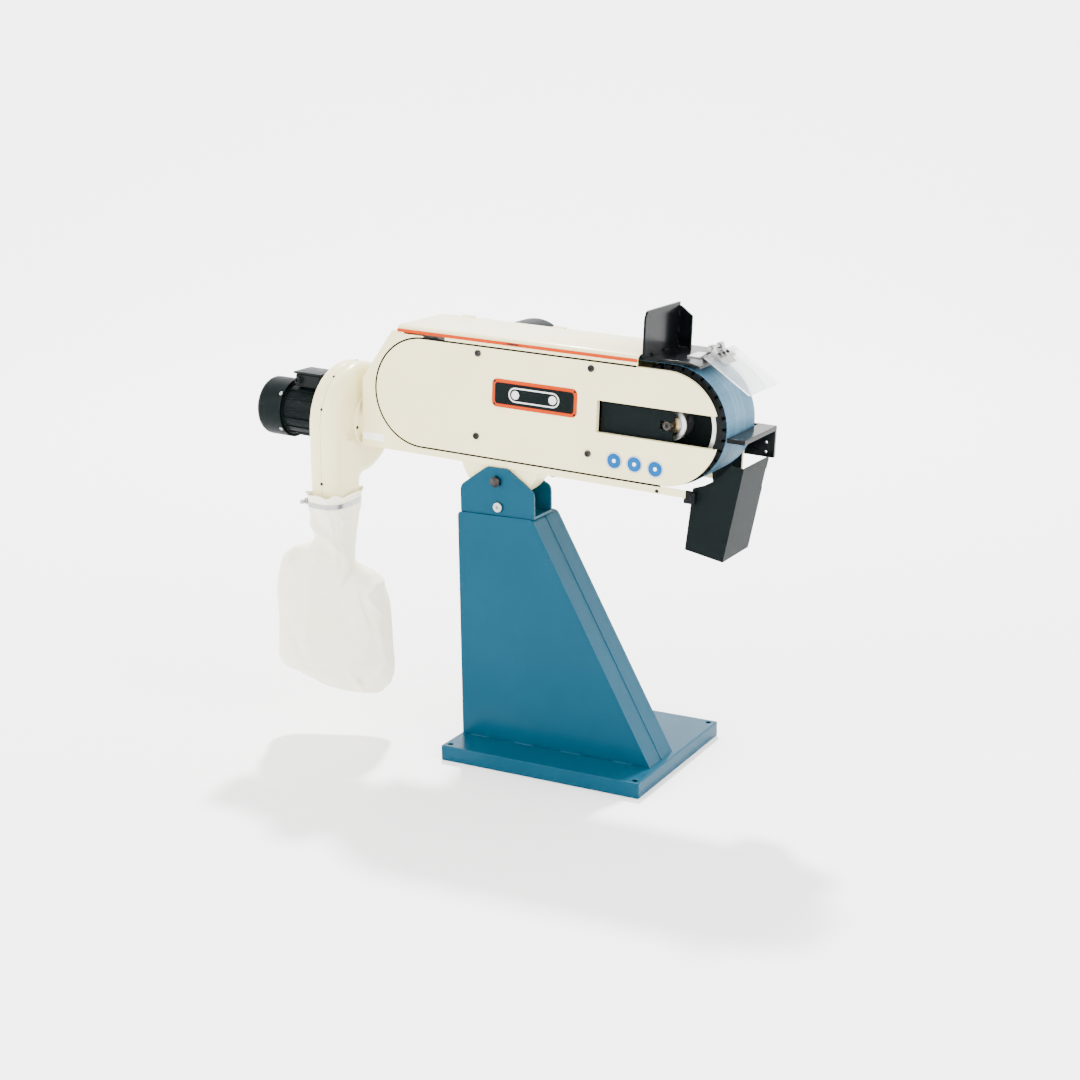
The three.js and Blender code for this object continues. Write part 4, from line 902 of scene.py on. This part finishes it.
def makeDustBag():
    bag = {"x": -0.421, "y": -0.1375, "top": -0.083, "around": 144, "rows": 120, "turn": math.radians(18),
           "frames": 18, "cap": 0.007, "length": 0.482, "fold": 0.003, "neckRows": 14}
    cut = {"girth": 0.66, "height": 0.5}
    # mm below the top: how far it reaches left and right, half its depth, its squareness and its turn
    stops = [(0, (-48, 48, 69, 3, 0)), (8, (-46, 46, 67.5, 3, 0)), (34, (-46, 46, 67.5, 3, 0)),
             (66, (-50, 46, 58, 2.6, 0.5)), (112, (-56, 44, 50, 2.4, 1)), (128, (-68, 43, 48, 2.3, 1)),
             (142, (-116, 42, 46, 2.2, 1)), (160, (-136, 46, 48, 2.2, 1)), (172, (-141, 62, 52, 2.3, 1)),
             (190, (-145, 96, 57, 2.4, 1)), (206, (-148, 116, 60, 2.5, 1)), (262, (-153, 129, 66, 2.6, 1)),
             (350, (-156, 134, 66, 2.6, 1)), (400, (-158, 134, 60, 2.5, 1)), (430, (-150, 133, 50, 2.4, 1)),
             (452, (-104, 128, 36, 2.2, 1)), (470, (-56, 114, 22, 2, 1)), (482, (-2, 92, 9, 2, 1))]
    points, faces, cloth, pressed = [], [], [], []
    around, rows = bag["around"], bag["rows"]
    fall = math.sin(lean)
    for row in range(rows + 1):
        depth = bag["length"] * (row / rows)
        left, right, halfY, power, turned = ease(depth * 1000, stops)
        turn = bag["turn"] * turned
        shift, halfX = (left + right) / 2000, (right - left) / 2000
        middle = Vector((bag["x"] + shift * math.cos(turn) + max(0, depth - 0.03) * fall,
                         bag["y"] + shift * math.sin(turn), bag["top"] - depth))
        body = min(1, max(0, (depth - 0.1) / 0.08))
        for i, point in enumerate(squareRing(*middle, halfX, halfY / 1000, power, around, turn)):
            a = math.tau * i / around
            gathers = 0.0018 * math.sin(9 * a + 1.3) + 0.0012 * math.sin(19 * a)
            near = math.exp(-((depth - 0.06) / 0.03) ** 2)
            mouth = max(0, 1 - depth / 0.014)
            corner = max(0, -math.cos(4 * a)) ** 2
            outward = (point - middle).normalized()
            swell = 0.005 * noise.noise(point * 11) * body
            swell += gathers * near + mouth * (0.0045 * corner + 0.0012 * math.sin(13 * a))
            side = min(1, max(0, -3 * math.sin(a))) if depth > 0.04 else 0
            fold = bag["fold"] * side * creaseAt((shift + halfX * math.cos(a)) * 1000, depth * 1000)
            pressed.append(headFrame.to_3x3() @ (outward * fold))
            lift = mouth * (0.005 * corner + 0.0022 * math.sin(7 * a + 0.6))
            points.append(point + outward * swell + Vector((0, 0, lift)))
    for row in range(rows):
        for i in range(around):
            a, b = row * around + i, row * around + (i + 1) % around
            faces.append((a, a + around, b + around, b))
            u, v = i / around * cut["girth"], cut["height"] * row / rows
            nextU, nextV = u + cut["girth"] / around, v + cut["height"] / rows
            cloth += [(u, v), (u, nextV), (nextU, nextV), (nextU, v)]
    faces.append(tuple(range(rows * around + around - 1, rows * around - 1, -1)))
    cloth += [(cut["girth"] / 2, cut["height"])] * around
    mesh = bpy.data.meshes.new("dustBag")
    mesh.from_pydata(points, [], faces)
    uvMap = mesh.uv_layers.new(name="cloth")
    for corner, spot in zip(uvMap.data, cloth):
        corner.uv = spot
    piece = bpy.data.objects.new("dust_bag_cloth", mesh)
    bpy.context.collection.objects.link(piece)
    piece.data.transform(headFrame)
    pick(piece)
    bpy.ops.object.mode_set(mode="EDIT")
    faceOutwards()
    dropCloth(piece, bag)
    for vertex, fold in zip(piece.data.vertices, pressed):
        vertex.co += fold
    applyModifier(piece, "finer", "SUBSURF", levels=1, render_levels=1)
    applyModifier(piece, "clothThickness", "SOLIDIFY", thickness=0.0008, offset=-1)
    finishPiece(piece, "dust_bag_cloth", "head", "bag_cotton", stands=["dust_bag"], smooth=70)


# the cloth is a little larger than the form, so it puckers as it settles under its own weight
def dropCloth(piece, bag):
    rest = [vertex.co.copy() for vertex in piece.data.vertices]
    held = piece.vertex_groups.new(name="held")
    held.add([i for i in range(len(rest)) if i < bag["around"] * bag["neckRows"]], 1.0, "REPLACE")
    cloth = piece.modifiers.new("cloth", "CLOTH")
    fabric = {"vertex_group_mass": "held", "quality": 7, "mass": 0.3, "tension_stiffness": 30,
              "compression_stiffness": 12, "shear_stiffness": 6, "bending_stiffness": 0.6,
              "shrink_min": -0.035, "use_pressure": True, "uniform_pressure_force": 0.35}
    for key, value in fabric.items():
        setattr(cloth.settings, key, value)
    cloth.collision_settings.use_collision = False
    scene = bpy.context.scene
    for step in range(1, bag["frames"] + 1):
        scene.frame_set(step)
    settled = piece.evaluated_get(bpy.context.evaluated_depsgraph_get())
    moved = [vertex.co.copy() for vertex in settled.data.vertices]
    piece.modifiers.clear()
    for vertex, start, end in zip(piece.data.vertices, rest, moved):
        step = end - start
        vertex.co = start + step * min(1, bag["cap"] / max(step.length, 1e-6))
    scene.frame_set(1)


def makeClamp():
    strap = {"x": -0.421, "y": -0.1375, "low": -0.111, "high": -0.1, "halfX": 0.0468, "halfY": 0.0678,
             "thick": 0.0009}
    loops = []
    for z, more in (("low", 0), ("low", strap["thick"]), ("high", strap["thick"]), ("high", 0)):
        halfX, halfY = strap["halfX"] + more, strap["halfY"] + more
        loops.append(squareRing(strap["x"], strap["y"], strap[z], halfX, halfY, 3, 160))
    band = addSkin(loops, ends=False, loop=True)
    housing = addBlock((-0.012, -0.005, -0.0075), (0.012, 0.005, 0.0075))
    roundEdges(housing, 0.0035, 4, 30)
    screw = addRod("x", 0.0042, -0.021, 0.0145, (0.0008, 0), 24)
    hexHead = addRod("x", 0.0052, -0.0225, -0.0165, (0.0008, 0), 6)
    worm = gather(housing, screw, hexHead)
    place = Matrix.Translation((strap["x"] - 0.0475, strap["y"] - 0.036, -0.1055))
    worm.data.transform(place @ Matrix.Rotation(math.radians(74), 4, "Z"))
    headPiece(gather(band, worm), "clamp_strap", "bright_steel", stands=["clamp_band"])


def roundedPlate(left, right, low, high, corner, face, depth):
    near, far, bottom, top = left + corner, right - corner, low + corner, high - corner
    outline = []
    for quarter, centre in enumerate(((far, bottom), (far, top), (near, top), (near, bottom))):
        outline += arcPoints(centre, corner, 90 * (quarter - 1), 90 * quarter, 8)
    return addPrism([(x, face, z) for x, z in outline], (0, depth, 0))


# the name plate with a plain belt-and-two-wheels mark, three round blue signs and a blank label
def makePlates():
    plate = {"left": -0.02, "right": 0.19, "low": 0.167, "high": 0.23, "corner": 0.012, "face": -0.112,
             "border": 0.008}
    mark = {"reach": 0.046, "outer": 0.0165, "inner": 0.0135, "wheel": 0.0095}
    signs = {"places": ((0.2835, 0.087), (0.3315, 0.0863), (0.3805, 0.083)), "radius": 0.0185, "hoop": 0.0165,
             "hoopEdge": 0.0174, "dot": 0.0042}
    face, border, reach = plate["face"], plate["border"], mark["reach"]
    left, right, low, high = (plate[key] for key in ("left", "right", "low", "high"))
    base = roundedPlate(left, right, low, high, plate["corner"], face - 0.0013, 0.0011)
    roundEdges(base, 0.0004, 2)
    headPiece(base, "badge_plate", "orange_trim", stands=["name_plate"])
    inner = roundedPlate(left + border, right - border, low + border, high - border, 0.007, face - 0.0019,
                         0.0007)
    headPiece(inner, "badge_panel", "charcoal_paint")
    middle, z = (left + right) / 2, (low + high) / 2
    outside = racetrack(middle - reach, middle + reach, z, mark["outer"], 24)
    inside = racetrack(middle - reach, middle + reach, z, mark["inner"], 24)
    ring = addPrism([(x, face - 0.0024, h) for x, h in outside], (0, 0.0007, 0))
    cutAway(ring, addPrism([(x, face - 0.003, h) for x, h in inside], (0, 0.002, 0)))
    wheels = [addRod("y", mark["wheel"], face - 0.0024, face - 0.0017, (middle + dx, z), 40)
              for dx in (-reach, reach)]
    headPiece(gather(ring, *wheels), "badge_mark", "wheel_aluminium")
    rivets = [addFacing(Vector((0, -1, 0)), Vector((x, face - 0.0013, h)), 0.0026, 0.0014)
              for x in (left + 0.006, right - 0.006) for h in (low + 0.006, high - 0.006)]
    headPiece(gather(*rivets), "badge_rivets", "dark_steel")
    for i, spot in enumerate(signs["places"]):
        disc = addRod("y", signs["radius"], face - 0.0006, face - 0.0001, spot, 64)
        headPiece(disc, f"blue_disc_{i + 1}", "orange_trim", finish=finishes["blue_vinyl"])
        section = boxSection(signs["hoop"], signs["hoopEdge"], face - 0.0009, face - 0.0005)
        hoop = addTurned("y", section, spot, 48)
        dot = addRod("y", signs["dot"], face - 0.0009, face - 0.0005, spot, 32)
        headPiece(gather(hoop, dot), f"disc_mark_{i + 1}", "orange_trim", finish=finishes["white_vinyl"])
    label = addBlock((-0.359, face - 0.0005, 0.046), (-0.302, face - 0.0001, 0.063))
    headPiece(label, "blank_label", "orange_trim", finish=finishes["white_vinyl"])


# painted shade: a flat black strip laid in the gap round the door, open at the nose where the wheel shows
def makeDoorGapShade():
    sealRingAndGapShade = {"left": -0.2013, "topEnd": 0.326, "lowEnd": 0.394, "z": 0.172, "radius": 0.1239, "half": 0.002,
            "face": -0.1124}
    loop = []
    for side, order in ((1, 1), (-1, -1)):
        radius = sealRingAndGapShade["radius"] + side * sealRingAndGapShade["half"]
        turn = [(sealRingAndGapShade["topEnd"], sealRingAndGapShade["z"] + radius)]
        turn += arcPoints((sealRingAndGapShade["left"], sealRingAndGapShade["z"]), radius, 90, 270, 72)
        turn.append((sealRingAndGapShade["lowEnd"], sealRingAndGapShade["z"] - radius))
        loop += turn[::order]
    strip = addPrism([(x, sealRingAndGapShade["face"], z) for x, z in loop], (0, 0.003, 0))
    headPiece(strip, "door_gap_shade_strip", "tyre_rubber", finish=finishes["door_gap_shade"])


# painted shade: a dark sheet behind the nose wheel, where the inside of the case lies in shade, and the tab that
# ties the chute to the case
def makeNoseSheets():
    face, sheetThick = 0.0768, 0.0008
    shadeOutline = [(0.442, -0.038), (0.498, -0.038), (0.498, 0.0985), (0.5, 0.112), (0.43, 0.112), (0.43, 0.055)]
    sheet = addPrism([(x, face, z) for x, z in shadeOutline], (0, sheetThick, 0))
    headPiece(sheet, "nose_painted_shade", "charcoal_paint")
    tab = addBlock((0.4475, -0.1085, 0.0185), (0.4725, -0.0955, 0.0445))
    roundEdges(tab, 0.0012, 3)
    headPiece(tab, "chute_tab", "black_paint")


# the screw in the case flange, the clip on the lid trim and the screws of the shield's leaf
def makeSmallScrews():
    leaf = {"x": 0.478, "z": 0.3262, "slope": math.radians(32.6), "thick": 0.0034,
            "across": (-0.036, -0.015, 0.006)}
    flange = addFacing(Vector((0, -1, 0)), Vector((0.387, -0.1124, 0.036)), 0.0042, 0.0026)
    headPiece(flange, "flange_screw", "dark_steel")
    clip = addBlock((0.015, -0.1152, 0.3072), (0.044, -0.1144, 0.3101))
    roundEdges(clip, 0.0003, 2)
    headPiece(clip, "trim_clip", "dark_steel")
    out = Vector((math.sin(leaf["slope"]), 0, math.cos(leaf["slope"])))
    screws = [addFacing(out, Vector((leaf["x"], y, leaf["z"])) + out * leaf["thick"], 0.0045, 0.003)
              for y in leaf["across"]]
    headPiece(gather(*screws), "leaf_screws", "dark_steel", body="shield")


# a bead of laid ripples from one point to another
def addWeld(start, end, radius):
    run = Vector(end) - Vector(start)
    ripples = int(run.length / 0.0016)
    profile = [(0, 0)]
    for k in range(ripples):
        profile.append((radius * (1 + 0.16 * math.cos(math.pi * k)), run.length * (k + 0.5) / ripples))
    profile.append((0, run.length))
    bead = addTurned("x", profile, (0, 0), 12)
    turned = run.to_track_quat("X", "Z").to_matrix().to_4x4()
    bead.data.transform(Matrix.Translation(start) @ turned)
    return bead


def makeWelds():
    foot = {"y": -0.1238, "z": 0.0365, "radius": 0.003, "length": 0.052,
            "starts": (-0.225, -0.11, 0.012, 0.14)}
    seam = {"top": (-0.054, -0.064, 0.567), "low": (0.234, -0.064, 0.036), "radius": 0.0017}
    beads = [addWeld((x, foot["y"], foot["z"]), (x + foot["length"], foot["y"], foot["z"]), foot["radius"])
             for x in foot["starts"]]
    beads.append(addWeld(seam["top"], seam["low"], seam["radius"]))
    finishPiece(gather(*beads), "foot_welds", "stand", "blue_paint", standFrame, smooth=60)
    spots = []
    for z in (0.3175, 0.347, 0.383):
        spots.append(addWeld((0.3395, 0.0615, z), (0.3395, 0.0615, z + 0.011), 0.0026))
    for y in (-0.07, -0.01, 0.04):
        spots.append(addWeld((0.3405, y, 0.3172), (0.3405, y + 0.02, 0.3172), 0.0028))
    headPiece(gather(*spots), "stop_welds", "black_paint", smooth=60)


steps = (makeBlower, makeFanMotor, makeMainMotor, makeBeltRun, makeTensionCoil, makeLid, makeDustBag,
         makeClamp, makePlates, makeDoorGapShade, makeNoseSheets, makeSmallScrews, makeWelds)
for step in steps:
    step()
    print(step.__name__, "done")
